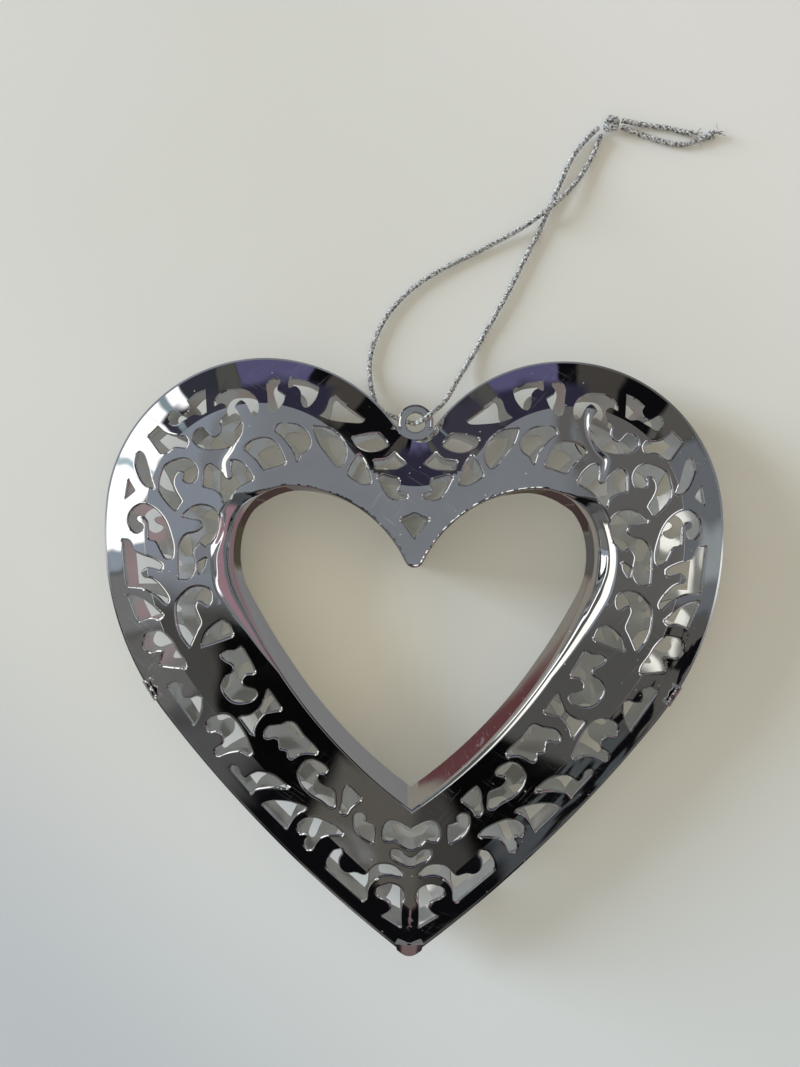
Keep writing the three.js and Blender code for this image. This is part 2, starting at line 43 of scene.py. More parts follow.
# Sizes repeated from the part's source, in millimetres and in per cent of the width
WIDTH = 104.93
SHEET = 0.4
RISE = 6.2
BEVEL = 8.6
OUTER = dict(
    lobe=(24.09, 22.47), fillet=3.5, radii=(25.81, 48.38, 213.4), degrees=(5.45, -38.25),
    marks=(0, 9, 42, 61, 100))
INNER = dict(
    lobe=(19.72, 6.88), fillet=1.56, radii=(20.35, 9.07, 14.93, 82.88), degrees=(92.7, 13.7, -24.3),
    marks=(0, 1, 9.5, 44.4, 53.5, 100))
LUG_RISE = 2.58
LUG_RADIUS = 3.1
LUG_HOLE_RADIUS = 1.65
CRIMP_PERCENT = 58.5

# Pierced scrollwork, as (per cent from notch to tip, per cent from rim to opening); S is a sharp corner
S = True
CUTS = {
    "notch_fish": [(2.3, 26.5, S), (5, 24.5, S), (5.5, 35.5), (6.6, 45, S), (5.9, 52, S), (5.1, 47),
        (3.8, 38.5)],
    "notch_drop": [(5.2, 59, S), (5, 54, S), (4.2, 51), (3.1, 46, S), (2.8, 47.5), (3, 54.5), (3.1, 58, S),
        (1.9, 52.5), (1.3, 51, S), (2.2, 59), (3.3, 67.5), (4, 67.5), (4.7, 63)],
    "fan_petal_1": [(8.4, 46, S), (8, 58), (7.5, 71.5, S), (6.7, 74.5), (5.9, 74), (5.5, 69, S), (6.3, 59),
        (7.6, 49)],
    "fan_petal_2": [(15.2, 47, S), (13.5, 55.5), (11.1, 60), (9.2, 63.5), (8.6, 66), (8.9, 56.5),
        (9.7, 47), (11.2, 43), (12.6, 42.5), (13.6, 43.5)],
    "fan_petal_3": [(20.3, 56.5), (19.9, 52), (18.4, 50.5), (16.7, 51), (15.3, 54.5), (14.3, 60),
        (14.2, 65.5), (14.8, 70.5), (14.7, 77, S), (16.2, 70.5), (18.2, 63.5), (19.4, 59.5)],
    "fan_petal_4": [(25.6, 66), (24.6, 63.5), (23.1, 62), (21.3, 62.5), (19.9, 66), (18.4, 73.5),
        (17.1, 80, S), (18.7, 82), (22.4, 84, S), (23.7, 76.5), (25.1, 69.5)],
    "rim_petal_1": [(6.8, 21), (7.2, 19), (9.4, 16.5, S), (9.8, 23), (10.5, 36, S), (9.4, 38), (8.1, 38),
        (7.2, 31.5), (6.9, 25)],
    "rim_petal_2": [(15.1, 16), (14.4, 17, S), (11.3, 16.5, S), (11.2, 21), (12.3, 30), (13.8, 36),
        (15.2, 37.5, S), (15, 30), (15.3, 19.5)],
    "rim_tooth_1": [(16.7, 16, S), (18.1, 14.5), (19.8, 15, S), (19.5, 23.5), (19, 21), (18.3, 24),
        (17.8, 32.5), (17.2, 36), (16.8, 34.5), (16.5, 26)],
    "rim_tooth_2": [(21.8, 21), (21.2, 16.5), (20.5, 19), (20.7, 25), (19.6, 30, S), (19.8, 38),
        (20.7, 44.5, S), (21.2, 43), (21.6, 31.5)],
    "arch_scroll": [(27.6, 31.5, S), (27.5, 28), (26.9, 24), (26.1, 22), (25.1, 23), (24.1, 25),
        (23.2, 29.5), (22.6, 36), (22.6, 42), (23, 46), (23.5, 44.5), (24.1, 35.5), (24.6, 33), (24.9, 34),
        (25.4, 37, S), (25.1, 41.5), (25, 48.5), (25.5, 55), (26.6, 59), (27.9, 60.5), (29.5, 58.5),
        (31, 54), (31.7, 48.5), (31.6, 42.5), (30.8, 40.5), (30, 41), (29.5, 50), (28.9, 51), (28.2, 50),
        (27.7, 46), (27.6, 42), (26.9, 40.5), (26.3, 36.5), (26.4, 33), (26.8, 31)],
    "rim_hook": [(30, 16.5, S), (28.9, 15), (27.9, 15.5, S), (28.6, 33, S), (29.3, 33), (30, 29.5),
        (31.1, 28.5), (32.3, 25.5), (32.5, 20), (32.3, 16), (31.7, 15), (31.1, 23), (30.5, 24), (30, 21.5)],
    "bracket": [(33.7, 17, S), (35, 15.5, S), (35.2, 23), (35.5, 32, S), (35.1, 35.5), (34, 37.5),
        (33.1, 43.5, S), (32.4, 42), (32.2, 38.5, S), (33.1, 32), (33.6, 24.5)],
    "rim_leaf": [(36.8, 15.5), (36.7, 19.5), (37.6, 29), (39.4, 39, S), (39.4, 31.5), (38.7, 23.5),
        (37.8, 17)],
    "rim_triangle": [(39.6, 16.5, S), (40.4, 24.5, S), (41.4, 17.5, S)],
    "c_scroll": [(39.2, 42.5), (37.8, 40.5), (36.4, 40), (35.2, 43.5), (34.2, 48.5), (33.9, 54.5),
        (34.5, 60), (35.9, 62), (36.7, 59), (36.7, 55.5), (35.7, 53), (35.9, 49.5), (36.9, 48.5),
        (37.9, 50), (38.6, 53), (39.8, 59.5, S), (41.4, 57, S), (40.7, 51.5), (39.9, 46)],
    "butterfly": [(34.4, 65.5), (33.3, 62.5), (32.3, 62.5), (31.9, 66), (31.6, 73), (31.8, 76),
        (31.2, 79.5), (30.3, 79), (29.3, 74), (28.4, 70, S), (27.4, 73), (26.3, 80), (25.7, 87.5, S),
        (30, 87), (32.3, 87), (35, 88), (36.3, 86, S), (35.1, 82.5), (34.9, 77.5), (35.8, 69, S)],
    "g_scroll": [(41.8, 29.5), (42.5, 24), (43.4, 22), (44.1, 24), (44.7, 29.5), (44.5, 34), (44, 35.5),
        (43.6, 31), (43.2, 29), (42.8, 31.5), (42.9, 36), (43.4, 39), (44.4, 40), (45.3, 41), (45.5, 45.5),
        (46.5, 49.5), (47.3, 52.5), (47.4, 56.5), (46.5, 58), (44.9, 55.5), (43, 50.5), (41.8, 43),
        (41.5, 36)],
    "three_scroll": [(42.1, 62.5, S), (40.6, 67), (39.4, 72.5), (39, 79.5), (40, 86), (42.5, 88.5),
        (45.4, 87), (46.4, 81, S), (45.9, 77.5), (46.8, 72.5), (48.1, 73), (49.1, 72.5), (49.9, 67.5),
        (49.7, 60.5, S), (47.9, 61.5), (46, 62.5), (45, 66.5), (44.7, 73.5), (43.7, 78), (42.3, 75.5),
        (42.2, 70)],
    "seed": [(48.4, 75.5), (47.9, 81, S), (48.6, 80.5), (49.6, 75.5, S)],
    "rim_bracket": [(45.3, 17, S), (45.5, 24), (46.4, 28), (46.8, 34.5), (47.2, 42), (48, 49.5),
        (48.5, 48.5, S), (48.2, 44), (48, 38.5), (48.4, 32.5), (48.9, 34), (49.2, 40.5), (50.1, 46),
        (51.6, 49.5), (51.9, 47, S), (50.8, 42), (49.9, 32), (49.4, 17, S)],
    "rim_wedge": [(50.2, 16.5, S), (50.6, 25.5), (51.6, 35.5), (52.9, 42, S), (53.1, 38), (52.7, 30.5),
        (52.7, 19.5, S)],
    "hooked_leaf": [(52.2, 55), (51.6, 60), (51.1, 67.5), (51.2, 74.5), (52, 80.5), (53.2, 78.5),
        (53.5, 75.5), (53, 73.5), (52.6, 70), (53.1, 66.5), (54.3, 66), (55.2, 65.5), (55.8, 61),
        (57, 51, S), (55.5, 49.5), (54, 50.5)],
    "arch_leaf": [(57.7, 59.5, S), (56.7, 66), (56.3, 73), (56.3, 80), (57, 83), (58.7, 82.5, S),
        (58.4, 76), (58, 67)],
    "rim_eye": [(54, 26), (54.2, 19), (54.9, 15), (55.6, 17.5), (55.8, 25), (56.2, 31), (56.5, 27),
        (57.1, 22), (57.6, 27), (58.7, 40.5, S), (58.2, 42), (56.8, 41), (55.4, 40), (54.4, 36)],
    "inner_wave": [(59.9, 68), (60.7, 69), (61.4, 71), (62.1, 72), (62.8, 69), (62.6, 62), (62.8, 57.5),
        (63.4, 55), (64.3, 54.5), (65.4, 55.5), (66.5, 60), (67.5, 68.5), (67.5, 73.5), (66.9, 74),
        (66.2, 71.5), (65.2, 68.5), (64.5, 69), (64.2, 72.5), (64.3, 77), (65.1, 82, S), (64.2, 83),
        (60.8, 83.5, S), (60.6, 78), (60, 72)],
    "rim_double_tooth": [(59.1, 17.5, S), (64, 15.5, S), (63.7, 24), (63.1, 32), (62.3, 37.5, S),
        (61.8, 35), (61.4, 28), (60.8, 23.5), (60.3, 25), (59.8, 30, S), (59.3, 26)],
    "rim_swan": [(65, 32.5), (65.1, 25.5), (65.6, 23), (66.1, 25), (66.5, 29.5), (67.2, 31.5), (67.8, 30),
        (68.2, 26), (67.9, 17.5), (68.1, 14.5), (68.6, 14.5), (69, 20.5), (69.6, 28), (70.5, 35.5),
        (71.8, 40), (71.8, 43, S), (69.3, 47.5), (67.6, 48), (66.3, 46), (65.5, 41)],
    "bow": [(67.8, 53, S), (70.5, 52.5, S), (70.1, 57.5), (70, 63.5), (70.2, 70.5), (71, 76.5),
        (72, 82.5, S), (68.5, 83, S), (69, 76.5), (69.3, 70), (69, 63), (68.4, 57)],
    "rim_leaf_low": [(70.8, 16, S), (74.6, 15, S), (74.7, 21), (75.6, 29.5), (76.6, 36.5), (78.5, 46, S),
        (76.2, 44), (75, 40.5), (74, 35.5), (73.4, 28.5), (73, 21), (72.1, 20), (71.4, 22.5), (70.8, 20)],
    "rim_wedge_low": [(76.5, 16, S), (80.5, 16.5, S), (80.7, 27), (81, 34.5), (82, 45.5, S), (80.2, 41),
        (78.8, 35), (77.5, 27), (76.7, 19.5)],
    "crab": [(72, 60), (72.3, 59), (72.8, 61), (73.5, 65.5), (74.2, 66.5), (75.1, 63), (75.6, 65),
        (76.2, 66), (76.7, 63.5), (77.2, 64), (77.6, 67.5), (78.2, 72.5), (79.2, 77.5), (80.6, 82, S),
        (80.4, 83.5), (77, 83), (75, 83.5), (74.2, 81), (73.6, 76), (72.7, 71), (72, 66)],
    "bird": [(79.2, 64.5), (79.2, 60.5), (79.9, 57), (80.8, 56), (82.2, 56.5), (84, 59), (85.4, 60),
        (86, 62.5), (85.7, 66.5), (85.2, 70.5), (84.2, 69), (83.1, 67), (82.2, 67), (81.8, 69.5),
        (82.2, 73), (83.1, 77), (83.2, 79), (82.5, 79.5), (81.4, 78), (80.4, 75.5), (79.5, 70)],
    "rim_hook_low": [(81.8, 28), (82, 24), (82.5, 23.5), (83.1, 28), (83.5, 27), (83.4, 20), (83.5, 17),
        (84, 16.5), (84.5, 19.5), (84.8, 28), (85.3, 36), (86.4, 43.5), (88.4, 51, S), (87.4, 51.5),
        (85.5, 49), (83.6, 44.5), (82.5, 38.5)],
    "tip_bracket": [(87, 18.5), (87.2, 15.5, S), (92.9, 15.5, S), (93.3, 20), (93.3, 28), (93.6, 34),
        (94.4, 42), (95.3, 47), (96.6, 51.5), (98.2, 55), (98.6, 57.5, S), (97.2, 58), (95.5, 54.5),
        (94.2, 49.5), (93.3, 43), (92.7, 37.5), (91.9, 35), (91.2, 33), (90.5, 29), (89.8, 26),
        (89.1, 25.5), (88.6, 28), (88.5, 34), (88.8, 39), (88.5, 41, S), (87.7, 36), (87.2, 28)],
    "tip_anchor": [(95.9, 17, S), (98.6, 19.5, S), (98.5, 27.5), (98.5, 33.5), (98.6, 38.5), (98.9, 43.5),
        (98.9, 46.5), (98.4, 48), (97.6, 47.5), (96.5, 45), (95.5, 40.5), (94.8, 35.5), (94.7, 31),
        (95.1, 30, S), (96, 32), (96.7, 32.5), (97.1, 29.5), (96.9, 25.5), (96.4, 21)],
    "tip_leaf": [(90.4, 72.5), (89.7, 69.5), (89.7, 65), (90.3, 61), (91.6, 60), (93.2, 61.5, S),
        (93.2, 68), (93, 72.5, S), (91.9, 70.5), (91.3, 70), (91.3, 73.5)],
    "trapezoid": [(87.2, 65.5), (87.7, 63), (88.2, 65), (88.5, 69.5), (89.2, 75), (90.2, 81.5, S),
        (88.5, 82), (87.2, 81.5, S), (87, 76), (87.2, 70)],
}
AXIS_CUTS = {
    "diamond": [(0, 59.5), (1, 64.5), (2, 75, S), (0, 78, S)],
    "mask": [(100, 88, S), (99, 87.5), (97.8, 86.5), (96, 83.5), (95.1, 78), (94.9, 72.5), (95.4, 69.5),
        (96.4, 72), (97.2, 75), (98, 74.5), (98.8, 74.5), (100, 76)],
    "smile": [(100, 70.5), (99, 69.5), (98.3, 70), (97.4, 69), (96.7, 67), (96.6, 64), (97.3, 62.5),
        (98.3, 63.5), (100, 66)],
}

# Cord points: mm right of the lug's hole, mm beyond it, per cent of the climb from the table to the rim
CORD = 0.9
CORD_LEVEL = 0.55
STRAND_LEFT = [
    (0.1, -0.1, 87), (-0.7, 0.1, 77), (-1.8, 0.5, 69), (-3.5, 1.2, 59), (-5.3, 2.2, 43), (-6.7, 3.6, 25),
    (-7.7, 6.6, 6), (-8.1, 10, 0), (-7.9, 12.9, 0), (-6.7, 16.7, 0), (-4.8, 20.1, 0), (-1.1, 24.2, 0),
    (3.8, 27.6, 0), (11.2, 31.4, 0), (18.4, 35.3, 7), (23.1, 38.5, 20), (27.8, 43.3, 7), (30.7, 48, 0),
    (32.3, 52, 4)]
STRAND_RIGHT = [
    (0.2, -0.1, 100), (0.8, 0.1, 109), (1.7, 0.6, 110), (2.7, 1.5, 106), (4.9, 3.7, 75), (7.7, 8.7, 17),
    (10.5, 13.5, 0), (13.8, 19.6, 0), (16.2, 23.9, 0), (19.2, 30.1, 0), (21.4, 34.4, 0), (23.3, 38.9, 0),
    (25.4, 43.8, 0), (27.5, 48.3, 0), (29.9, 51.4, 1), (31.8, 53.2, 6)]
TAIL_SHORT = [(36, 54.5, 6), (40, 54, 0), (44.4, 53.4, 0), (47.3, 52.7, 0), (48.5, 52.6, 0)]
TAIL_LONG = [
    (36, 53.3, 6), (39.1, 52.4, 0), (43.2, 51.1, 0), (46.9, 50.6, 0), (49.7, 51.4, 0), (52.2, 52.5, 0)]
KNOT = (34, 53.7, 1.25)

# Radius of the rolled shoulder round the opening, in millimetres, at per cents of the way from notch to tip
SHOULDER_PERCENTS = [0, 20, 27, 33, 52, 60, 68, 100]
SHOULDER_LEFT = [0.3, 0.35, 1.2, 3.2, 3.5, 1.6, 0.45, 0.35]
SHOULDER_RIGHT = [0.3, 0.35, 1.2, 3.1, 3.2, 2.2, 1.3, 0.6]

# Creases where the pressed face steps down towards the left: plan points from the top and depth, in mm
CREASES = [
    ([(-29.7, 41.2), (-28.9, 37.6), (-29.8, 34.7), (-31.1, 32.4), (-30.7, 29.5)], 0.22),
    ([(-30.8, 24.3), (-31.3, 20.6), (-32.4, 17.2), (-32.2, 13.7)], 0.22),
    ([(28.5, 42.9), (27.9, 39.9), (28.3, 37.5), (29.6, 35.1), (30.9, 33.5), (30.4, 30.5)], 0.31),
    ([(30.7, 22), (31.4, 18.4), (31.3, 15.6), (30.2, 12.7), (28.9, 9.9), (28, 7.8)], 0.31),
]
# Width of a crease's step, and how far the sunken face fades out beside it and past its ends, in mm
CREASE_WIDTH = 0.26
CREASE_FADE = 3.2
CREASE_END = 0.6


# Plan of the heart

def heart_arcs(lobe, fillet, radii, degrees, marks):
    """Arcs of the right side, notch to tip: x, y, radius, both end angles, first and last per cent."""
    reach = radii[0] + fillet
    start = math.acos(-lobe[0] / reach)
    rows = [(0, lobe[1] + reach * math.sin(start), fillet, -math.pi / 2, start - math.pi)]
    x, y = lobe
    turn = start
    for i, joint in enumerate(degrees):
        end = math.radians(joint)
        rows.append((x, y, radii[i], turn, end))
        x += (radii[i] - radii[i + 1]) * math.cos(end)
        y += (radii[i] - radii[i + 1]) * math.sin(end)
        turn = end
    rows.append((x, y, radii[-1], turn, -math.acos(-x / radii[-1])))
    k = WIDTH / 100
    return [(x * k, y * k, r * k, a, b, marks[i], marks[i + 1]) for i, (x, y, r, a, b) in enumerate(rows)]


def along(arcs, percent):
    """Point of the right side at a per cent of the way from notch to tip."""
    x, y, r, a, b, begin, end = next(arc for arc in arcs if percent <= arc[6] + 1e-6)
    angle = a + (b - a) * (percent - begin) / (end - begin)
    return x + r * math.cos(angle), y + r * math.sin(angle)


def drawn(arcs, step):
    """Closed outline, sampled about a step apart."""
    right = [along(arcs, 0)]
    for x, y, r, a, b, begin, end in arcs:
        count = max(3, round(abs(b - a) * r / step))
        right += [along(arcs, begin + (end - begin) * k / count) for k in range(1, count + 1)]
    return right + [(-x, y) for x, y in right[-2:0:-1]]


def centred(arcs, shift):
    return [(x, y - shift, *rest) for x, y, *rest in arcs]


outer = heart_arcs(**OUTER)
inner = heart_arcs(**INNER)
middle = (along(outer, 100)[1] + outer[1][1] + outer[1][2]) / 2
outer = centred(outer, middle)
inner = centred(inner, middle)
LUG = (0.0, along(outer, 0)[1] + LUG_RISE)


# How far past its ends an arc is measured, in radians; the last one takes in what lies beyond the tip
ARC_SLACK = 0.002
TIP_SLACK = 0.8


def measured(arcs, points, sign):
    """Depth of plan points behind an outline, the way in which it grows, and the per cent along."""
    side = np.where(points[:, 0] < 0, -1.0, 1.0)
    at = np.column_stack([np.abs(points[:, 0]), points[:, 1]])
    depth = np.full(len(at), np.inf)
    grows = np.zeros((len(at), 2))
    percent = np.zeros(len(at))
    for i, (x, y, r, a, b, begin, end) in enumerate(arcs):
        bulge = -1 if i == 0 else 1
        v = at - (x, y)
        far = np.maximum(np.hypot(v[:, 0], v[:, 1]), 1e-9)
        angle = np.arctan2(v[:, 1], v[:, 0])
        low = min(a, b) - (TIP_SLACK if i == len(arcs) - 1 else ARC_SLACK)
        high = max(a, b) + ARC_SLACK
        d = sign * bulge * (r - far)
        use = (angle >= low) & (angle <= high) & (np.abs(d) < np.abs(depth))
        depth[use] = d[use]
        grows[use] = (-sign * bulge * v / far[:, None])[use]
        percent[use] = (begin + (end - begin) * (angle - a) / (b - a))[use]
    grows[:, 0] *= side
    return depth, grows, np.clip(percent, 0, 100)


def spline(points, step, closed=False):
    """Centripetal Catmull-Rom curve through the points, sampled about a step apart."""
    p = np.array(points, float)
    n = len(p)
    if closed:
        knots = np.vstack([p[-1], p, p[0], p[1 % n]])
    else:
        knots = np.vstack([2 * p[0] - p[1], p, 2 * p[-1] - p[-2]])
    out = []
    for i in range(n if closed else n - 1):
        p0, p1, p2, p3 = knots[i:i + 4]
        t0, t1, t2 = [max(1e-4, np.linalg.norm(q)) ** 0.5 for q in (p1 - p0, p2 - p1, p3 - p2)]
        m1 = t1 * ((p1 - p0) / t0 - (p2 - p0) / (t0 + t1) + (p2 - p1) / t1)
        m2 = t1 * ((p2 - p1) / t1 - (p3 - p1) / (t1 + t2) + (p3 - p2) / t2)
        count = max(1, round(np.linalg.norm(p2 - p1) / step))
        for k in range(count):
            t = k / count
            out.append((2 * t**3 - 3 * t**2 + 1) * p1 + (t**3 - 2 * t**2 + t) * m1
                       + (3 * t**2 - 2 * t**3) * p2 + (t**3 - t**2) * m2)
    return out if closed else out + [p[-1]]


def cut_outline(points, step):
    """Closed outline of a cut-out, rounded between its sharp corners."""
    sharp = [i for i, p in enumerate(points) if len(p) > 2 and p[2]]
    flat = [p[:2] for p in points]
    if not sharp:
        return [tuple(q) for q in spline(flat, step, closed=True)]
    out = []
    for first, last in zip(sharp, sharp[1:] + [sharp[0] + len(flat)]):
        run = [flat[i % len(flat)] for i in range(first, last + 1)]
        out += [tuple(q) for q in spline(run, step)[:-1]]
    return out


def on_band(point):
    """Plan point of a place on the band between the rim and the opening."""
    (ox, oy), (ix, iy) = along(outer, point[0]), along(inner, point[0])
    w = point[1] / 100
    return (ox + (ix - ox) * w, oy + (iy - oy) * w, *point[2:])


def circle(centre, radius, count):
    turns = [2 * math.pi * k / count for k in range(count)]
    return [(centre[0] + radius * math.cos(t), centre[1] + radius * math.sin(t)) for t in turns]


# Steps between the points of the outlines, in millimetres, and the sides of the lug's circles
CUT_STEP = 0.34
RIM_STEP = 0.6
OPENING_STEP = 0.5
LUG_SIDES = 60
LUG_HOLE_SIDES = 40

cut_loops = []
for points in CUTS.values():
    right = [on_band(p) for p in points]
    for side in (1, -1):
        cut_loops.append(cut_outline([(side * x, y, *rest) for x, y, *rest in right], CUT_STEP))
for points in AXIS_CUTS.values():
    right = [on_band(p) for p in points]
    left = [(-x, y, *rest) for x, y, *rest in right[-2:0:-1]]
    cut_loops.append(cut_outline(right + left, CUT_STEP))
cut_loops.append(circle(LUG, LUG_HOLE_RADIUS, LUG_HOLE_SIDES))

# Point of the heart, the radius to which it is worn, and the sine and cosine of half its angle
TIP = along(outer, 100)[1]
TIP_ROUND = 2.2
TIP_SINE = -math.sin(outer[-1][4])
TIP_COSINE = math.cos(outer[-1][4])


def round_tip(loop):
    """The outline with its point worn to an arc that meets both sides."""
    centre = TIP + TIP_ROUND / TIP_SINE
    out = []
    for x, y in loop:
        worn = abs(x) < TIP_COSINE * TIP_ROUND and y < centre
        k = min(1.0, TIP_ROUND / math.hypot(x, y - centre)) if worn else 1.0
        out.append((x * k, centre + (y - centre) * k))
    return out


def tip_rise(x):
    """How far the edge has climbed from the worn tip at a distance x from the middle."""
    turn = min(abs(x) / TIP_ROUND, TIP_COSINE)
    straight = max(0, abs(x) - TIP_COSINE * TIP_ROUND)
    return TIP_ROUND * (1 - math.sqrt(1 - turn * turn)) + straight * TIP_COSINE / TIP_SINE


rim_loop = round_tip(drawn(outer, RIM_STEP))
opening_loop = drawn(inner, OPENING_STEP)
lug_loop = circle(LUG, LUG_RADIUS, LUG_SIDES)


def tree_of(spots):
    tree = kdtree.KDTree(len(spots))
    for i, (x, y) in enumerate(spots):
        tree.insert((x, y, 0), i)
    tree.balance()
    return tree


def nearest_tree(loops, step):
    """Tree of points about a step apart along closed outlines."""
    spots = []
    for loop in loops:
        for (ax, ay), (bx, by) in zip(loop, loop[1:] + loop[:1]):
            count = max(1, round(math.hypot(bx - ax, by - ay) / step))
            spots += [(ax + (bx - ax) * k / count, ay + (by - ay) * k / count) for k in range(count)]
    return tree_of(spots)


# How far below the lug's middle its free edge starts, and the surface that turns down to that edge
LUG_FREE = 1.0
LUG_TURNED = 1.2

edge_tree = nearest_tree(cut_loops, step=0.08)
rim_tree = nearest_tree([rim_loop, lug_loop], step=0.2)
lug_tree = nearest_tree([[p for p in lug_loop if p[1] > LUG[1] - LUG_FREE]], step=0.1)


def inside(points, loop):
    """Which points lie inside a closed outline."""
    ring = np.array(loop)
    low, high = ring.min(axis=0), ring.max(axis=0)
    near = np.flatnonzero(((points >= low) & (points <= high)).all(axis=1))
    x, y = points[near, 0], points[near, 1]
    odd = np.zeros(len(near), bool)
    for (ax, ay), (bx, by) in zip(ring, np.roll(ring, -1, axis=0)):
        crosses = (ay > y) != (by > y)
        if crosses.any():
            odd ^= crosses & (x < (bx - ax) * (y - ay) / (by - ay if by != ay else 1e-12) + ax)
    out = np.zeros(len(points), bool)
    out[near] = odd
    return out


def in_metal(points):
    """Which plan points lie on the metal."""
    keep = inside(points, rim_loop) | (np.hypot(points[:, 0] - LUG[0], points[:, 1] - LUG[1]) < LUG_RADIUS)
    keep &= ~inside(points, opening_loop)
    for loop in cut_loops:
        keep &= ~inside(points, loop)
    return keep


# Pressed section: flat edge at the rim, slope of the bevel, and radii of its foot and brow, in millimetres
EDGE = 0.3
SLOPE = math.atan2(RISE - SHEET, BEVEL - EDGE)
FOOT = 0.04
BROW = 0.1
# How far the bevel bows: the turn at its ends and the height in its middle
CROWN = math.radians(5)
BULGE = 0.17
# Sine of the kink with which the shoulder starts
KINK = math.sin(math.radians(14))
# Half the width of the opening's lower corner, and the per cent past which it lies
CORNER = 1.7
CORNER_PERCENT = 90
FOOT_TAN = FOOT * math.tan(SLOPE / 2)
BROW_TAN = BROW * math.tan(SLOPE / 2)


def wall_way(points):
    """Depth behind the opening, the way out of it, turned evenly at its corner, and the per cent along."""
    behind, away, percent = measured(inner, points, -1)
    corner = (np.abs(points[:, 0]) < CORNER) & (percent > CORNER_PERCENT)
    away[corner, 0] *= np.abs(points[corner, 0]) / CORNER
    away /= np.maximum(1e-9, np.hypot(away[:, 0], away[:, 1]))[:, None]
    return behind, away, percent


def pressed(points):
    """Height over the rim plane and outward normal of the front's outer surface at plan points."""
    depth, inward, _ = measured(outer, points, 1)
    behind, away, percent = wall_way(points)
    foot = np.clip((depth - EDGE + FOOT_TAN) / FOOT, 0, math.sin(SLOPE))
    brow = np.clip((BEVEL + BROW_TAN - depth) / BROW, 0, math.sin(SLOPE))
    tilt = np.minimum(np.arcsin(foot), np.arcsin(brow))
    rising = SHEET + FOOT * (1 - np.cos(np.arcsin(foot)))
    straight = np.maximum(0, depth - EDGE - FOOT_TAN * math.cos(SLOPE)) * math.tan(SLOPE)
    falling = RISE - BROW * (1 - np.cos(np.arcsin(brow)))
    straight_down = np.maximum(0, BEVEL - BROW_TAN * math.cos(SLOPE) - depth) * math.tan(SLOPE)
    height = np.minimum(rising + straight, falling - straight_down)
    height = np.where(depth < EDGE - FOOT_TAN, SHEET, height)
    share = np.clip((depth - EDGE) / (BEVEL - EDGE), 0, 1)
    tilt += np.where(tilt > 0.9 * SLOPE, CROWN * (1 - 2 * share), 0)
    height += np.where((depth > EDGE) & (depth < BEVEL), 4 * BULGE * share * (1 - share), 0)
    normal = np.column_stack([-inward * np.sin(tilt)[:, None], np.cos(tilt)])
    radius = np.where(points[:, 0] < 0, np.interp(percent, SHOULDER_PERCENTS, SHOULDER_LEFT),
                      np.interp(percent, SHOULDER_PERCENTS, SHOULDER_RIGHT))
    turned = np.clip((radius - behind) / radius, 0, 1)
    on = turned > 1e-6
    turned = KINK + (1 - KINK) * turned
    bend = np.arcsin(turned)
    height[on] = (RISE - radius / (1 - KINK) * (math.cos(math.asin(KINK)) - np.cos(bend)))[on]
    normal[on] = np.column_stack([-away * turned[:, None], np.cos(bend)])[on]
    return height, normal


def left_of(line):
    """Unit way to the left of each point of a line that runs down the plan."""
    way = np.gradient(line, axis=0)
    return np.column_stack([way[:, 1], -way[:, 0]]) / np.hypot(way[:, 0], way[:, 1])[:, None]


crease_lines = [(np.array(spline(line, 0.3)), depth) for line, depth in CREASES]


def creased(points):
    """How far the face sinks beside its creases, and the slope that this adds."""
    sink = np.zeros(len(points))
    slope = np.zeros((len(points), 2))
    for line, depth in crease_lines:
        left = left_of(line)
        tree = tree_of(line)
        low, high = line.min(axis=0) - 2 * CREASE_FADE, line.max(axis=0) + 2 * CREASE_FADE
        for i in np.flatnonzero(((points > low) & (points < high)).all(axis=1)):
            _, k, _ = tree.find((*points[i], 0))
            gap = points[i] - line[k]
            across = gap.dot(left[k])
            beyond = abs(gap[0] * left[k][1] - gap[1] * left[k][0])
            ends = math.sin(math.pi * (k + 0.5) / len(line)) ** 0.5 * math.exp(-(beyond / CREASE_END) ** 2)
            fade = depth * ends * math.exp(-(across / CREASE_FADE) ** 2)
            step = math.tanh(across / CREASE_WIDTH)
            sink[i] += fade * (0.5 + 0.5 * step)
            slope[i] += left[k] * fade * (0.5 * (1 - step * step) / CREASE_WIDTH
                                          - across / CREASE_FADE**2 * (1 + step))
    return sink, slope


# Turn of the surface at a cut edge and at the lug's edge, in degrees, and its drop, by millimetres in
ROLL = ([0, 0.18, 0.23, 0.45], [54, 42, 6, 0])
LUG_ROLL = ([0, 0.12, 0.35, 0.7], [72, 46, 24, 0])
DROP = ([0, 0.18, 0.23, 0.45], [0.2, 0.02, 0.01, 0])


def rolled(points, normal, void):
    """Turns the normals down close to the cut edges, and returns how far the surface drops there."""
    drop = np.zeros(len(points))
    for i, (x, y) in enumerate(points):
        table = ROLL
        spot, _, gap = edge_tree.find((x, y, 0))
        if math.hypot(x - LUG[0], y - LUG[1]) > LUG_RADIUS - LUG_ROLL[0][-1] and y > LUG[1] - LUG_TURNED:
            table = LUG_ROLL
            spot, _, gap = lug_tree.find((x, y, 0))
        if gap >= table[0][-1]:
            continue
        way = np.array([*void[i], 0.0]) if i in void else np.array([spot.x - x, spot.y - y, 0.0])
        n = normal[i]
        way -= n * way.dot(n)
        length = np.linalg.norm(way)
        if length < 1e-6:
            continue
        turn = math.radians(np.interp(gap, *table))
        normal[i] = n * math.cos(turn) + way / length * math.sin(turn)
        drop[i] += np.interp(gap, *DROP)
    return drop


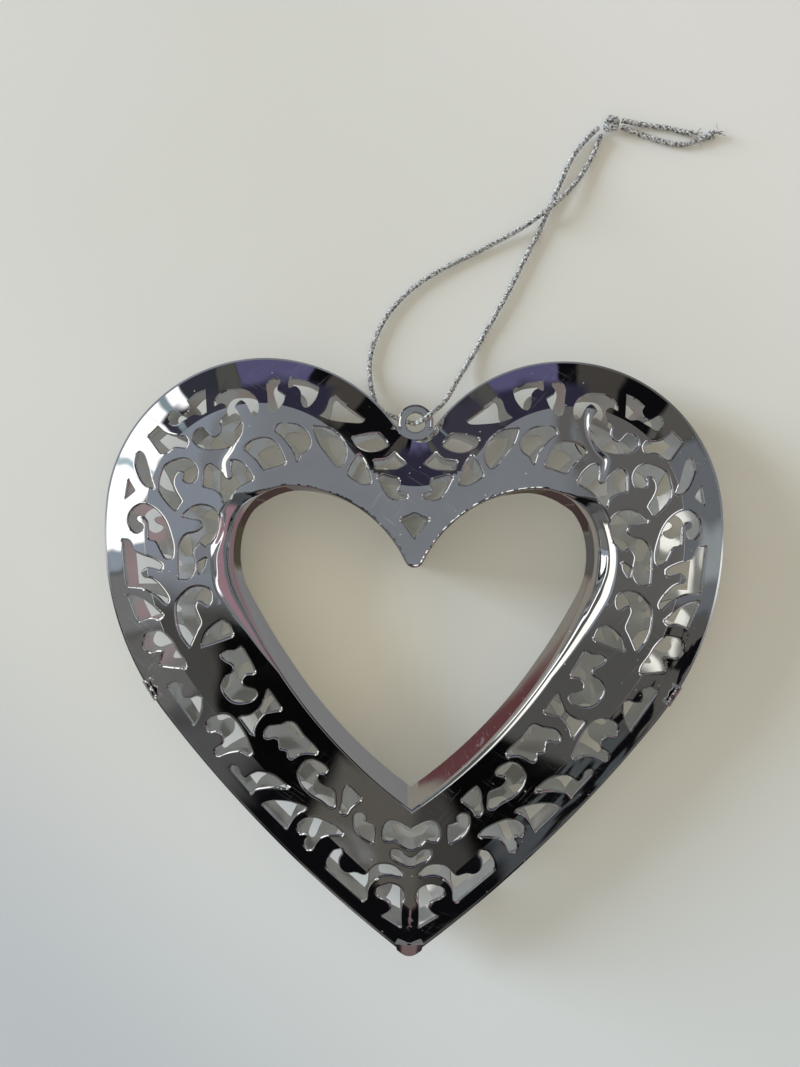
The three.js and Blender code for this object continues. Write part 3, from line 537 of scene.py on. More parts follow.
def offset(arcs, percent, inset):
    """Point on an outline drawn in by an inset, mitred on the axis."""
    gone = arcs[0][2] + inset <= 0
    k = next(i for i, arc in enumerate(arcs) if percent <= arc[6] + 1e-6)
    if k == 0 and gone:
        k = 1
    x, y, r, a, b, begin, end = arcs[k]
    r += inset if k == 0 else -inset
    if gone and k == 1:
        a = math.acos(max(-1, -x / r))
    if k == len(arcs) - 1:
        b = -math.acos(-x / r)
    angle = a + (b - a) * max(0, (percent - begin) / (end - begin))
    return x + r * math.cos(angle), y + r * math.sin(angle)


def rows(arcs, insets, step):
    """Points on both sides along lines set in from an outline, by a length or a function of the place."""
    marks = []
    for x, y, r, a, b, begin, end in arcs:
        count = max(3, round(abs(b - a) * r / step))
        marks += [begin + (end - begin) * (k + 0.5) / count for k in range(count)]
    out = []
    for inset in insets:
        for side in (-1, 1):
            for percent in marks:
                x, y = offset(arcs, percent, inset(side, percent) if callable(inset) else inset)
                out.append((side * x, y))
    return out


def shoulder_row(degrees, beyond=0.0):
    """Inset, for rows, of the line on which the shoulder has turned so far."""
    turned = 1 - math.sin(math.radians(degrees))

    def inset(side, percent):
        radii = SHOULDER_LEFT if side < 0 else SHOULDER_RIGHT
        return -turned * float(np.interp(percent, SHOULDER_PERCENTS, radii)) - beyond
    return inset


# Share of its distance that a ring's point keeps from every cut edge, and least gap to the opening, in mm
RING_CLEAR = 0.93
OPENING_CLEAR = 0.03


def rings(distances):
    """Points round the cut-outs at the given distances from their edges."""
    out = []
    for loop in cut_loops:
        ring = np.array(loop)
        tangent = np.roll(ring, -1, axis=0) - np.roll(ring, 1, axis=0)
        across = np.column_stack([tangent[:, 1], -tangent[:, 0]])
        across /= np.maximum(1e-9, np.hypot(across[:, 0], across[:, 1]))[:, None]
        area = np.sum(ring[:, 0] * np.roll(ring[:, 1], -1) - np.roll(ring[:, 0], -1) * ring[:, 1])
        across *= np.sign(area)
        for distance in distances:
            for x, y in ring + across * distance:
                if edge_tree.find((x, y, 0))[2] > RING_CLEAR * distance:
                    out.append((x, y))
    return out


def beside_creases(offsets):
    """Points along the creases at the given distances to their left."""
    return [tuple(p) for line, _ in crease_lines for gap in offsets for p in line + left_of(line) * gap]


def grid(step):
    """Points all over the plan, with every second row shifted by half a step."""
    low, high = np.min(rim_loop, axis=0), np.max(rim_loop, axis=0)
    xs = np.arange(low[0], high[0], step)
    ys = np.arange(low[1], high[1], step)
    return [(x + (0.5 * step if j % 2 else 0), y) for j, y in enumerate(ys) for x in xs]


def spaced(points, gap):
    """Those points that lie in the metal, clear of its edges."""
    points = np.array(points)
    points = points[in_metal(points)]
    clear = [edge_tree.find((x, y, 0))[2] > gap and rim_tree.find((x, y, 0))[2] > gap for x, y in points]
    return points[np.array(clear) & (measured(inner, points, -1)[0] > OPENING_CLEAR)]


def triangulated(extra):
    """Triangles of the metal in plan, its edges, metal on their left, and the void side of edge points."""
    spots, links = [], []
    for loop in [rim_loop, lug_loop, opening_loop, *cut_loops]:
        first, count = len(spots), len(loop)
        spots += loop
        links += [(first + k, first + (k + 1) % count) for k in range(count)]
    spots += [tuple(p) for p in extra]
    found = geometry.delaunay_2d_cdt([Vector(p) for p in spots], links, [], 0, 1e-5)
    points = np.array([tuple(v) for v in found[0]])
    faces = np.array(found[2])
    a, b, c = points[faces[:, 0]], points[faces[:, 1]], points[faces[:, 2]]
    area = (b[:, 0] - a[:, 0]) * (c[:, 1] - a[:, 1]) - (b[:, 1] - a[:, 1]) * (c[:, 0] - a[:, 0])
    faces[area < 0] = faces[area < 0][:, ::-1]
    faces = faces[(np.abs(area) > 1e-7) & in_metal((a + b + c) / 3)]
    sides = np.vstack([faces[:, [0, 1]], faces[:, [1, 2]], faces[:, [2, 0]]])
    known = {tuple(side) for side in sides}
    edges = [side for side in known if side[::-1] not in known]
    void = {}
    for i, j in sorted(edges):
        dx, dy = points[j] - points[i]
        length = max(1e-9, math.hypot(dx, dy))
        for k in (i, j):
            void[k] = void.get(k, np.zeros(2)) + np.array([dy, -dx]) / length
    for k, way in void.items():
        void[k] = way / max(1e-9, np.linalg.norm(way))
    return points, faces, sorted(edges), void


OUTSIDE, INSIDE = 0, 1


class Skin:
    """Points, normals and faces of one piece, gathered from patches, in millimetres over the rim plane."""

    def __init__(self):
        self.points, self.normals, self.faces, self.finishes = [], [], [], []

    def add(self, points, normals, faces, finish=OUTSIDE):
        first = len(self.points)
        self.points += [tuple(p) for p in points]
        self.normals += [tuple(n) for n in normals]
        self.faces += [tuple(first + k for k in face) for face in faces]
        self.finishes += [finish] * len(faces)

    def strip(self, above, below, normals, pairs, finish=OUTSIDE):
        """Quads between two rows of points, facing along the normals."""
        self.add(list(above) + list(below), list(normals) * 2,
                 [(i, i + len(above), j + len(above), j) for i, j in pairs], finish)

    def smooth(self, points, faces):
        """Adds a patch with normals averaged from its faces."""
        points = np.array(points)
        normals = np.zeros_like(points)
        for face in faces:
            a, b, c = points[face[0]], points[face[1]], points[face[-1]]
            for k in face:
                normals[k] += np.cross(b - a, c - a)
        normals /= np.maximum(1e-9, np.linalg.norm(normals, axis=1))[:, None]
        self.add(points, normals, faces)

    def made(self, name, slot, nodes, lift=0.0, turned_over=False):
        """Makes the piece in Blender, on the root body, in place of the CAD nodes."""
        points, normals = np.array(self.points), np.array(self.normals)
        faces = self.faces
        if turned_over:
            points, normals = points * (1, 1, -1), normals * (1, 1, -1)
            faces = [face[::-1] for face in faces]
        mesh = bpy.data.meshes.new(name)
        mesh.from_pydata(((points + (0, 0, lift)) * MM).tolist(), [], faces)
        mesh.polygons.foreach_set("use_smooth", [True] * len(mesh.polygons))
        mesh.normals_split_custom_set_from_vertices(normals.tolist())
        piece = bpy.data.objects.new(name, mesh)
        bpy.context.collection.objects.link(piece)
        piece.data.materials.append(materials[slot])
        if INSIDE in self.finishes:
            piece.data.materials.append(materials[slot + "_inside"])
            mesh.polygons.foreach_set("material_index", self.finishes)
        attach(piece, "root")
        if nodes:
            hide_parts(*nodes)
        return piece


# Materials

def connect(tree, made, inputs):
    """Links sockets to a node's inputs, and sets plain values on them."""
    for key, value in inputs.items():
        if isinstance(value, bpy.types.NodeSocket):
            tree.links.new(value, made.inputs[key])
        else:
            made.inputs[key].default_value = value


def node(tree, kind, inputs=(), **settings):
    made = tree.nodes.new(kind)
    for key, value in settings.items():
        setattr(made, key, value)
    connect(tree, made, dict(inputs))
    return made


def maths(tree, operation, *values):
    return node(tree, "ShaderNodeMath", enumerate(values), operation=operation).outputs[0]


def joined(tree, operation, values):
    """All values joined by one operation, such as the largest of them."""
    out = values[0]
    for value in values[1:]:
        out = maths(tree, operation, out, value)
    return out


def parted(tree, vector):
    return node(tree, "ShaderNodeSeparateXYZ", {0: vector}).outputs


def bumped(tree, height, distance, strength=1.0, over=None):
    inputs = {"Height": height, "Distance": distance, "Strength": strength}
    if over is not None:
        inputs["Normal"] = over
    return node(tree, "ShaderNodeBump", inputs).outputs[0]


def noise(tree, scale, detail=2.0, roughness=0.5, vector=None):
    inputs = {"Scale": scale, "Detail": detail, "Roughness": roughness}
    if vector is not None:
        inputs["Vector"] = vector
    return node(tree, "ShaderNodeTexNoise", inputs).outputs["Fac"]


def between(tree, value, low, high, to_low, to_high, smooth=False):
    inputs = {"Value": value, "From Min": low, "From Max": high, "To Min": to_low, "To Max": to_high}
    kind = "SMOOTHSTEP" if smooth else "LINEAR"
    return node(tree, "ShaderNodeMapRange", inputs, interpolation_type=kind).outputs["Result"]


def mixed(tree, factor, first, second):
    first, second = [c if isinstance(c, bpy.types.NodeSocket) else (*c, 1) for c in (first, second)]
    return node(tree, "ShaderNodeMix", {0: factor, 6: first, 7: second}, data_type="RGBA").outputs[2]


def blank(name):
    """A new material, its node tree and shader, and the place on the object in metres."""
    material = bpy.data.materials.new(name)
    material.use_nodes = True
    tree = material.node_tree
    return material, tree, tree.nodes["Principled BSDF"], node(tree, "ShaderNodeTexCoord").outputs["Object"]


def hairlines(tree, place):
    """Mask of fine scratches in two directions, in patches."""
    patch = between(tree, noise(tree, 55, 1.0, 0.5, place), 0.56, 0.66, 0, 0.16)
    lines = []
    for turn in (0.6, -0.85):
        turned = node(tree, "ShaderNodeMapping", {"Vector": place, "Rotation": (0, 0, turn)}).outputs[0]
        stretched = node(tree, "ShaderNodeMapping", {"Vector": turned, "Scale": (1, 60, 1)}).outputs[0]
        lines.append(between(tree, noise(tree, 150, 0.0, 0.5, stretched), 0.76, 0.79, 0, 1))
    return maths(tree, "MULTIPLY", joined(tree, "MAXIMUM", lines), patch)


def dust(tree, place):
    """Mask of sparse specks about a tenth of a millimetre across."""
    cells = node(tree, "ShaderNodeTexVoronoi", {"Vector": place, "Scale": 620})
    speck = between(tree, cells.outputs["Distance"], 0.05, 0.09, 0.6, 0)
    draw = parted(tree, cells.outputs["Color"])[0]
    patch = between(tree, noise(tree, 40, 1.0, 0.5, place), 0.45, 0.6, 0.1, 0.6)
    return maths(tree, "MULTIPLY", speck, maths(tree, "LESS_THAN", draw, patch))


def chrome(name, tint):
    """Bright plating: long shallow ripples of the pressing, fine pits, faint smears, scratches and dust."""
    material, tree, shader, place = blank(name)
    ripple = noise(tree, 70, 1.0, 0.4, place)
    pits = noise(tree, 2600, 2.0, 0.6, place)
    smear = noise(tree, 160, 4.0, 0.6, place)
    marks = maths(tree, "MAXIMUM", hairlines(tree, place), dust(tree, place))
    plating = mixed(tree, between(tree, smear, 0.35, 0.7, 0, 1), tint, [0.94 * c for c in tint])
    polish = between(tree, smear, 0.4, 0.75, 0.025, 0.07)
    connect(tree, shader, {
        "Base Color": mixed(tree, marks, plating, (0.8, 0.8, 0.79)),
        "Metallic": between(tree, marks, 0, 1, 1, 0.1),
        "Roughness": maths(tree, "MAXIMUM", polish, between(tree, marks, 0, 1, 0, 0.4)),
        "Normal": bumped(tree, pits, 4e-7, over=bumped(tree, ripple, 6e-5))})
    return material


def lit_inside_satin(name, tint):
    """Inner face of the sheet: softer and paler than the outside; its paleness is painted light, standing
    in for the light thrown to and fro inside the hollow.
    """
    material, tree, shader, place = blank(name)
    smear = noise(tree, 160, 4.0, 0.6, place)
    connect(tree, shader, {
        "Base Color": mixed(tree, between(tree, smear, 0.35, 0.7, 0, 1), tint, [0.9 * c for c in tint]),
        "Metallic": 0.64,
        "Roughness": between(tree, smear, 0.4, 0.75, 0.08, 0.14),
        "Normal": bumped(tree, noise(tree, 90, 1.0, 0.4, place), 2e-4)})
    return material


def thread(name):
    """Silver metallic thread: bright foil windings with a greyer core showing between them."""
    material, tree, shader, place = blank(name)
    winding = noise(tree, 2400, 2.0, 0.6, place)
    foil = between(tree, winding, 0.38, 0.62, 0, 1)
    connect(tree, shader, {
        "Base Color": mixed(tree, foil, (0.15, 0.155, 0.17), (0.95, 0.96, 0.97)),
        "Metallic": 0.5,
        "Roughness": between(tree, noise(tree, 500, 2.0, 0.5, place), 0.3, 0.7, 0.22, 0.42),
        "Normal": bumped(tree, winding, 6e-5, 0.8)})
    return material


# Middle of the paler patch of table inside the heart, where its bright walls throw light down, and the
# distances from it between which it fades, in metres
GLOW_AT = (-0.017, 0.003, 0)
GLOW_FADE = (0.006, 0.026)


def table_top(name):
    """Pale table with painted shade and light: cooler and darker towards the near left corner (painted
    shade), lighter towards the far right (painted light), and a painted pool of light inside the heart.
    """
    material, tree, shader, place = blank(name)
    cloud = noise(tree, 9, 3.0, 0.5, place)
    colour = mixed(tree, between(tree, cloud, 0.35, 0.65, 0, 1), (0.66, 0.655, 0.635), (0.69, 0.69, 0.68))
    apart = parted(tree, place)
    # Painted shade: cooler and darker towards the near side
    colour = mixed(tree, between(tree, apart[1], 0.01, -0.075, 0, 0.55, True), colour, (0.62, 0.68, 0.75))
    corner = maths(tree, "ADD", apart[0], apart[1])
    # Painted shade: darker and cooler still towards the near left corner
    colour = mixed(tree, between(tree, corner, -0.05, -0.14, 0, 0.8, True), colour, (0.48, 0.51, 0.57))
    # Painted light: lighter towards the far right
    colour = mixed(tree, between(tree, corner, 0.09, 0.16, 0, 0.6, True), colour, (0.77, 0.76, 0.765))
    # Painted pool of light inside the heart, standing in for the light its walls throw down
    far = node(tree, "ShaderNodeVectorMath", {0: place, 1: GLOW_AT}, operation="DISTANCE").outputs["Value"]
    colour = mixed(tree, between(tree, far, *GLOW_FADE, 0.8, 0, True), colour, (0.82, 0.80, 0.74))
    connect(tree, shader, {
        "Base Color": colour,
        "Roughness": 0.75,
        "Specular IOR Level": 0.25,
        "Normal": bumped(tree, noise(tree, 900, 2.0, 0.6, place), 4e-5, 0.35)})
    return material


# Pale tint of the inner faces: painted light, for the light thrown about inside the hollow
INSIDE_LIT_TINT = (0.845, 0.86, 0.87)
materials = {
    "chrome_front": chrome("chrome_front", (0.80, 0.805, 0.82)),
    "chrome_back": chrome("chrome_back", (0.78, 0.785, 0.80)),
    "chrome_front_inside": lit_inside_satin("chrome_front_inside", INSIDE_LIT_TINT),
    "chrome_back_inside": lit_inside_satin("chrome_back_inside", INSIDE_LIT_TINT),
    "metallic_cord": thread("metallic_cord"),
}


# Cord: plies laid round each other, length of a full turn, a ply's radius, its least gap to the table, and
# the step along the path
PLIES = 3
PITCH = 2.55
PLY = 0.225
PLY_GAP = 0.02
CORD_STEP = 0.16


def run_along(path):
    """Distance from the start of a path to each of its points."""
    return np.concatenate([[0], np.cumsum(np.linalg.norm(np.diff(path, axis=0), axis=1))])


def cord_path(points):
    """Path of a cord through its points, in even steps."""
    at = [(x, LUG[1] + y, CORD_LEVEL + climb / 100 * RISE) for x, y, climb in points]
    fine = np.array(spline(at, step=0.05))
    gone = run_along(fine)
    even = np.linspace(0, gone[-1], max(2, round(gone[-1] / CORD_STEP)) + 1)
    return np.column_stack([np.interp(even, gone, fine[:, k]) for k in range(3)])


def framed(path):
    """Two unit side directions, carried along a path without twist."""
    tangent = np.gradient(path, axis=0)
    tangent /= np.linalg.norm(tangent, axis=1)[:, None]
    side = np.zeros_like(path)
    up = np.array([0.0, 0.0, 1.0])
    for i, t in enumerate(tangent):
        up = up - t * up.dot(t)
        up /= np.linalg.norm(up)
        side[i] = up
    return side, np.cross(tangent, side)


def lofted(rings, sides):
    """Faces of a closed skin over rings of points, with both ends filled."""
    faces = []
    for i in range(rings - 1):
        for k in range(sides):
            m = (k + 1) % sides
            faces.append((i * sides + k, i * sides + m, (i + 1) * sides + m, (i + 1) * sides + k))
    faces.append(tuple(range(sides))[::-1])
    faces.append(tuple((rings - 1) * sides + k for k in range(sides)))
    return faces


def tube(skin, path, radius, sides=6):
    """Adds a closed tube along a path."""
    up, across = framed(path)
    points, normals = [], []
    for i in range(len(path)):
        for k in range(sides):
            turn = 2 * math.pi * k / sides
            way = up[i] * math.cos(turn) + across[i] * math.sin(turn)
            points.append(path[i] + way * radius)
            normals.append(way)
    skin.add(points, normals, lofted(len(path), sides))


# Length over which the plies of a loose end spread
LOOSE_END = 3.0


def twisted(skin, path, loose=0.0):
    """Plies laid round a path; loose spreads them towards the far end."""
    up, across = framed(path)
    gone = run_along(path)
    spread = CORD / 2 - PLY + loose * np.clip((gone - gone[-1] + LOOSE_END) / LOOSE_END, 0, 1) ** 2
    for k in range(PLIES):
        turn = 2 * math.pi * (gone / PITCH + k / PLIES)
        ply = path + (up * np.cos(turn)[:, None] + across * np.sin(turn)[:, None]) * spread[:, None]
        ply[:, 2] = np.maximum(ply[:, 2], PLY + PLY_GAP)
        tube(skin, ply, PLY)


# Filaments of a cut end: how many, radius, least gap to the table, and ranges of their lean, reach and lift
FILAMENTS = 7
FILAMENT_RADIUS = 0.07
FILAMENT_GAP = 0.05
FILAMENT_LEAN = (-1.1, 1.1)
FILAMENT_REACH = (1.1, 2.0)
FILAMENT_LIFT = (-0.1, 0.5)


def frayed(skin, path, seed):
    """Loose filaments that fan out of a cut end."""
    chance = random.Random(seed)
    end, way = path[-1], path[-1] - path[-8]
    way = way / np.linalg.norm(way)
    for _ in range(FILAMENTS):
        lean = np.array([-way[1], way[0], 0]) * chance.uniform(*FILAMENT_LEAN)
        reach = chance.uniform(*FILAMENT_REACH)
        lift = chance.uniform(*FILAMENT_LIFT)
        halfway = end + (way + 0.3 * lean) * 0.5 * reach
        loose_end = end + (way + lean) * reach + (0, 0, lift)
        line = np.array(spline([end - way * 0.8, halfway, loose_end], step=0.1))
        line[:, 2] = np.maximum(line[:, 2], FILAMENT_RADIUS + FILAMENT_GAP)
        tube(skin, line, FILAMENT_RADIUS, sides=5)


cords = {}
for name, points in (("cord_strand_left", STRAND_LEFT), ("cord_strand_right", STRAND_RIGHT)):
    skin, path = Skin(), cord_path(points)
    twisted(skin, path)
    cords[name] = (skin.made(name + "_twist", "metallic_cord", [name]), path)
tails = []
for name, points, loose, seed in (
        ("cord_tail_short", TAIL_SHORT, 0.15, 3),
        ("cord_tail_long", TAIL_LONG, 0.45, 8)):
    skin, path = Skin(), cord_path(points)
    twisted(skin, path, loose)
    frayed(skin, path, seed)
    tails.append(skin.made(name + "_twist", "metallic_cord", [name]))


# Turns of the knot: half its length, breadth and height in millimetres, and how it leans in radians
KNOT_TURNS = [((1.1, 0.62, 0.55), 0.4), ((0.7, 1.05, 0.6), 1.3), ((0.95, 0.9, 0.5), 2.5)]


def knot_turn(radii, lean, steps=24):
    """One closed turn of the knot, a leaning loop round its middle."""
    out = []
    c, s = math.cos(lean), math.sin(lean)
    for k in range(steps + 1):
        t = 2 * math.pi * k / steps
        x, y, z = radii[0] * math.cos(t), radii[1] * math.sin(t), radii[2] * math.sin(2 * t + lean)
        out.append((KNOT[0] + x * c - y * s, LUG[1] + KNOT[1] + x * s + y * c, KNOT[2] + z))
    return np.array(out)


skin = Skin()
for radii, lean in KNOT_TURNS:
    twisted(skin, np.array(spline(knot_turn(radii, lean), CORD_STEP)))
knot = skin.made("cord_knot_turns", "metallic_cord", ["cord_knot"])
for name, held in (("cord_strand_left", [knot, tails[1]]), ("cord_strand_right", [tails[0]])):
    piece, path = cords[name]


# Shells

# Lines of mesh points: mm in from the rim, degrees that the shoulder has turned, mm off a crease
BEVEL_ROWS = [1.2, 2.6, 4.2, 5.8]
UPPER_ROWS = [7.2, 8.1]
SHOULDER_ROWS = (70, 50, 34, 20, 8, 0.6, 0)
INNER_SHOULDER_ROWS = (60, 30, 5)
CREASE_ROWS = [-1.2, -0.6, -0.35, -0.15, 0, 0.15, 0.35, 0.6, 1.2]

# Burrs left where the opening was trimmed: how wide, to which per cent, what share, how high, how they lean
BURR_REACH = 0.4
BURR_END = 12
BURR_SHARE = 0.4
BURR = 0.03
BURR_LEAN = (-0.45, 0.1, 0)


def shell_skin():
    """Outer and inner surface, cut edges and opening wall of one pressed half."""
    foot = EDGE - FOOT_TAN
    brow = BEVEL - BROW_TAN * math.cos(SLOPE)
    turn = FOOT * math.sin(SLOPE)
    bend = BROW * math.sin(SLOPE)
    fine = rings(ROLL[0][1:])
    breaks = [foot, foot + turn, brow, brow + bend]
    fine += rows(outer, breaks, step=0.25) + rows(outer, BEVEL_ROWS, step=0.9)
    fine += rows(outer, UPPER_ROWS + [brow + bend + 0.4], step=0.6)
    fine += rows(inner, [shoulder_row(a) for a in SHOULDER_ROWS], step=0.3)
    fine += rows(inner, [shoulder_row(0, beyond=0.3), shoulder_row(0, beyond=0.9)], step=0.8)
    fine += [p for gap in LUG_ROLL[0][1:] for p in circle(LUG, LUG_RADIUS - gap, LUG_SIDES)]
    fine += beside_creases(CREASE_ROWS)
    fine += grid(step=2.0)
    plain = rows(outer, breaks, step=1.2)
    plain += rows(inner, [shoulder_row(a) for a in INNER_SHOULDER_ROWS], step=1.0) + grid(step=3.5)
    skin = Skin()

    points, faces, edges, void = triangulated(spaced(fine, gap=0.06))
    height, normal = pressed(points)
    sink, slope = creased(points)
    height -= sink
    normal[:, :2] += slope * normal[:, 2:]
    behind, away, percent = wall_way(points)
    chance = random.Random(5)
    for k in np.flatnonzero((behind < BURR_REACH) & (percent < BURR_END) & (points[:, 0] > 0)):
        if chance.random() < BURR_SHARE:
            normal[k] += BURR_LEAN
            height[k] += BURR
    normal /= np.linalg.norm(normal, axis=1)[:, None]
    under = np.column_stack([points, height]) - SHEET * normal
    lip = behind < 1e-3
    turned = normal.copy()
    drop = rolled(points, turned, {k: way for k, way in void.items() if not lip[k]})
    above = np.column_stack([points, height - drop])
    skin.add(above, turned, faces)

    number = {k: i for i, k in enumerate(sorted(void))}
    ring = sorted(void)
    way = np.array([[*(-away[k] if lip[k] else void[k]), 0] for k in ring])
    cut = [(number[i], number[j]) for i, j in edges if not (lip[i] and lip[j])]
    skin.strip(above[ring], under[ring], way, cut)
    wall = [(number[i], number[j]) for i, j in edges if lip[i] and lip[j]]
    low, sunk = above[ring].copy(), under[ring].copy()
    low[:, 2] = sunk[:, 2] = 0
    skin.strip(above[ring], low, way, wall)
    skin.strip(under[ring], sunk, -way, [(j, i) for i, j in wall], INSIDE)
    skin.strip(low, sunk, np.tile([0, 0, -1.0], (len(ring), 1)), wall)

    points, faces, _, _ = triangulated(spaced(plain, gap=0.25))
    height, normal = pressed(points)
    skin.add(np.column_stack([points, height]) - SHEET * normal, -normal, faces[:, ::-1], INSIDE)
    return skin


# Crimps at the sides: length, steps and folds along it, and the share of its reach that is lost at its ends
CRIMP_LENGTH = 3.8
CRIMP_STEPS = 22
CRIMP_FOLDS = 2.4
CRIMP_TAPER = 0.55
# Outline of a folded tab's section, as mm out of the rim and mm over the rim plane, and its crumpled points
CRIMP_SECTION = [
    (-0.45, -0.44), (0.08, -0.46), (0.26, -0.25), (0.3, 0.12), (0.22, 0.5), (-0.05, 0.85), (-0.45, 1.14),
    (-0.95, 1.42), (-1.02, 1.1), (-0.5, 0.82), (-0.12, 0.56), (0.03, 0.3), (0.03, -0.2), (-0.45, -0.4)]
CRUMPLED = range(3, 9)
# Height of the folds on the left and on the right, in mm, and the share of it that chance adds or takes
CRIMP_CRUMPLE = {-1: 0.2, 1: 0.12}
CRIMP_CHANCE = 0.08


def side_crimp(side):
    """A crumpled tab of the back half, folded over the rim of the front half."""
    chance = random.Random(11 + side)
    skin, points = Skin(), []
    (x, y), (fx, fy), (bx, by) = [along(outer, CRIMP_PERCENT + step) for step in (0, 0.1, -0.1)]
    way = np.array([fx - bx, fy - by]) / math.hypot(fx - bx, fy - by)
    out = np.array([-way[1], way[0]])
    for i in range(CRIMP_STEPS + 1):
        run = CRIMP_LENGTH * (i / CRIMP_STEPS - 0.5)
        swell = math.sin(2 * math.pi * CRIMP_FOLDS * i / CRIMP_STEPS + side)
        taper = 1 - CRIMP_TAPER * (2 * i / CRIMP_STEPS - 1) ** 4
        for k, (reach, up) in enumerate(CRIMP_SECTION):
            lump = 0
            if k in CRUMPLED:
                lump = CRIMP_CRUMPLE[side] * (swell + chance.uniform(-CRIMP_CHANCE, CRIMP_CHANCE))
            plan = np.array([x, y]) + way * run + out * (reach * (taper if reach < 0 else 1) - 0.3 * lump)
            points.append((side * plan[0], plan[1], up + lump * (0.5 if k < 5 else 1)))
    faces = lofted(CRIMP_STEPS + 1, len(CRIMP_SECTION))
    skin.smooth(points, [face if side < 0 else face[::-1] for face in faces])
    return skin


# Tab at the tip: half widths at its rounded end and straight edge, length, height over the rim plane, slope
FLAP_END = 2.1
FLAP_HALF = 2.35
FLAP_LENGTH = 2.35
FLAP_LIFT = 0.95
FLAP_SLOPE = 0.44
# Its gap to the metal, the sag of its straight edge, how far it is pressed in, and its steps each way
FLAP_GAP = 0.08
FLAP_SAG = 0.1
FLAP_SINK = 0.03
FLAP_STEPS = (7, 14)
# Where its outer and inner sheet end behind the rim: mm inwards and mm over the rim plane
FLAP_OUTER_END = (-0.03, -0.45)
FLAP_INNER_END = (0.25, -0.42)


def tip_crimp():
    """The tip's tab, folded from behind round the point and pressed over the ridge of the front half."""
    low = min(y for _, y in rim_loop) - FLAP_GAP
    down, wide = FLAP_STEPS
    top, under = [], []
    for i in range(down + 2):
        left = max(0, 1 - i / down)
        half = FLAP_END + (FLAP_HALF - FLAP_END) * left
        for k in range(wide + 1):
            s = 2 * k / wide - 1
            x = half * s
            end = low + tip_rise(x)
            y = end + (low + FLAP_LENGTH - FLAP_SAG * s * s - end) * left
            if i > down:
                top.append((x, y + FLAP_OUTER_END[0], FLAP_OUTER_END[1]))
                under.append((x, y + FLAP_INNER_END[0], FLAP_INNER_END[1]))
                continue
            seat = pressed(np.array([(x, y)]))[0][0] if i < down else SHEET
            top.append((x, y, max(FLAP_LIFT + FLAP_SLOPE * (y - end), seat + FLAP_GAP)))
            under.append((x, y, seat - FLAP_SINK))
    n = wide + 1
    faces = [(i * n + k, (i + 1) * n + k, (i + 1) * n + k + 1, i * n + k + 1)
             for i in range(down + 1) for k in range(wide)]
    skin = Skin()
    skin.smooth(top[:-n], faces[:down * wide])
    skin.smooth(top[-2 * n:], faces[:wide])
    skin.smooth(under, [face[::-1] for face in faces])
    last = down + 1
    border = list(range(wide)) + [i * n + wide for i in range(last)]
    border += [last * n + k for k in range(wide, 0, -1)] + [i * n for i in range(last, 0, -1)]
    for a, b in zip(border, border[1:] + border[:1]):
        skin.smooth([top[a], top[b], under[b], under[a]], [(0, 1, 2, 3)])
    return skin


shell = shell_skin()
shell.made("front_shell_skin", "chrome_front", ["front_shell"], lift=RISE)
shell.made("back_shell_skin", "chrome_back", ["back_shell"], lift=RISE, turned_over=True)
side_crimp(-1).made("crimp_left", "chrome_back", [], lift=RISE)
side_crimp(1).made("crimp_right", "chrome_back", [], lift=RISE)
tip_crimp().made("crimp_tip", "chrome_back", [], lift=RISE)


# Surround: the cards and flags that the mirror metal sees, and a plain soft room for all other light

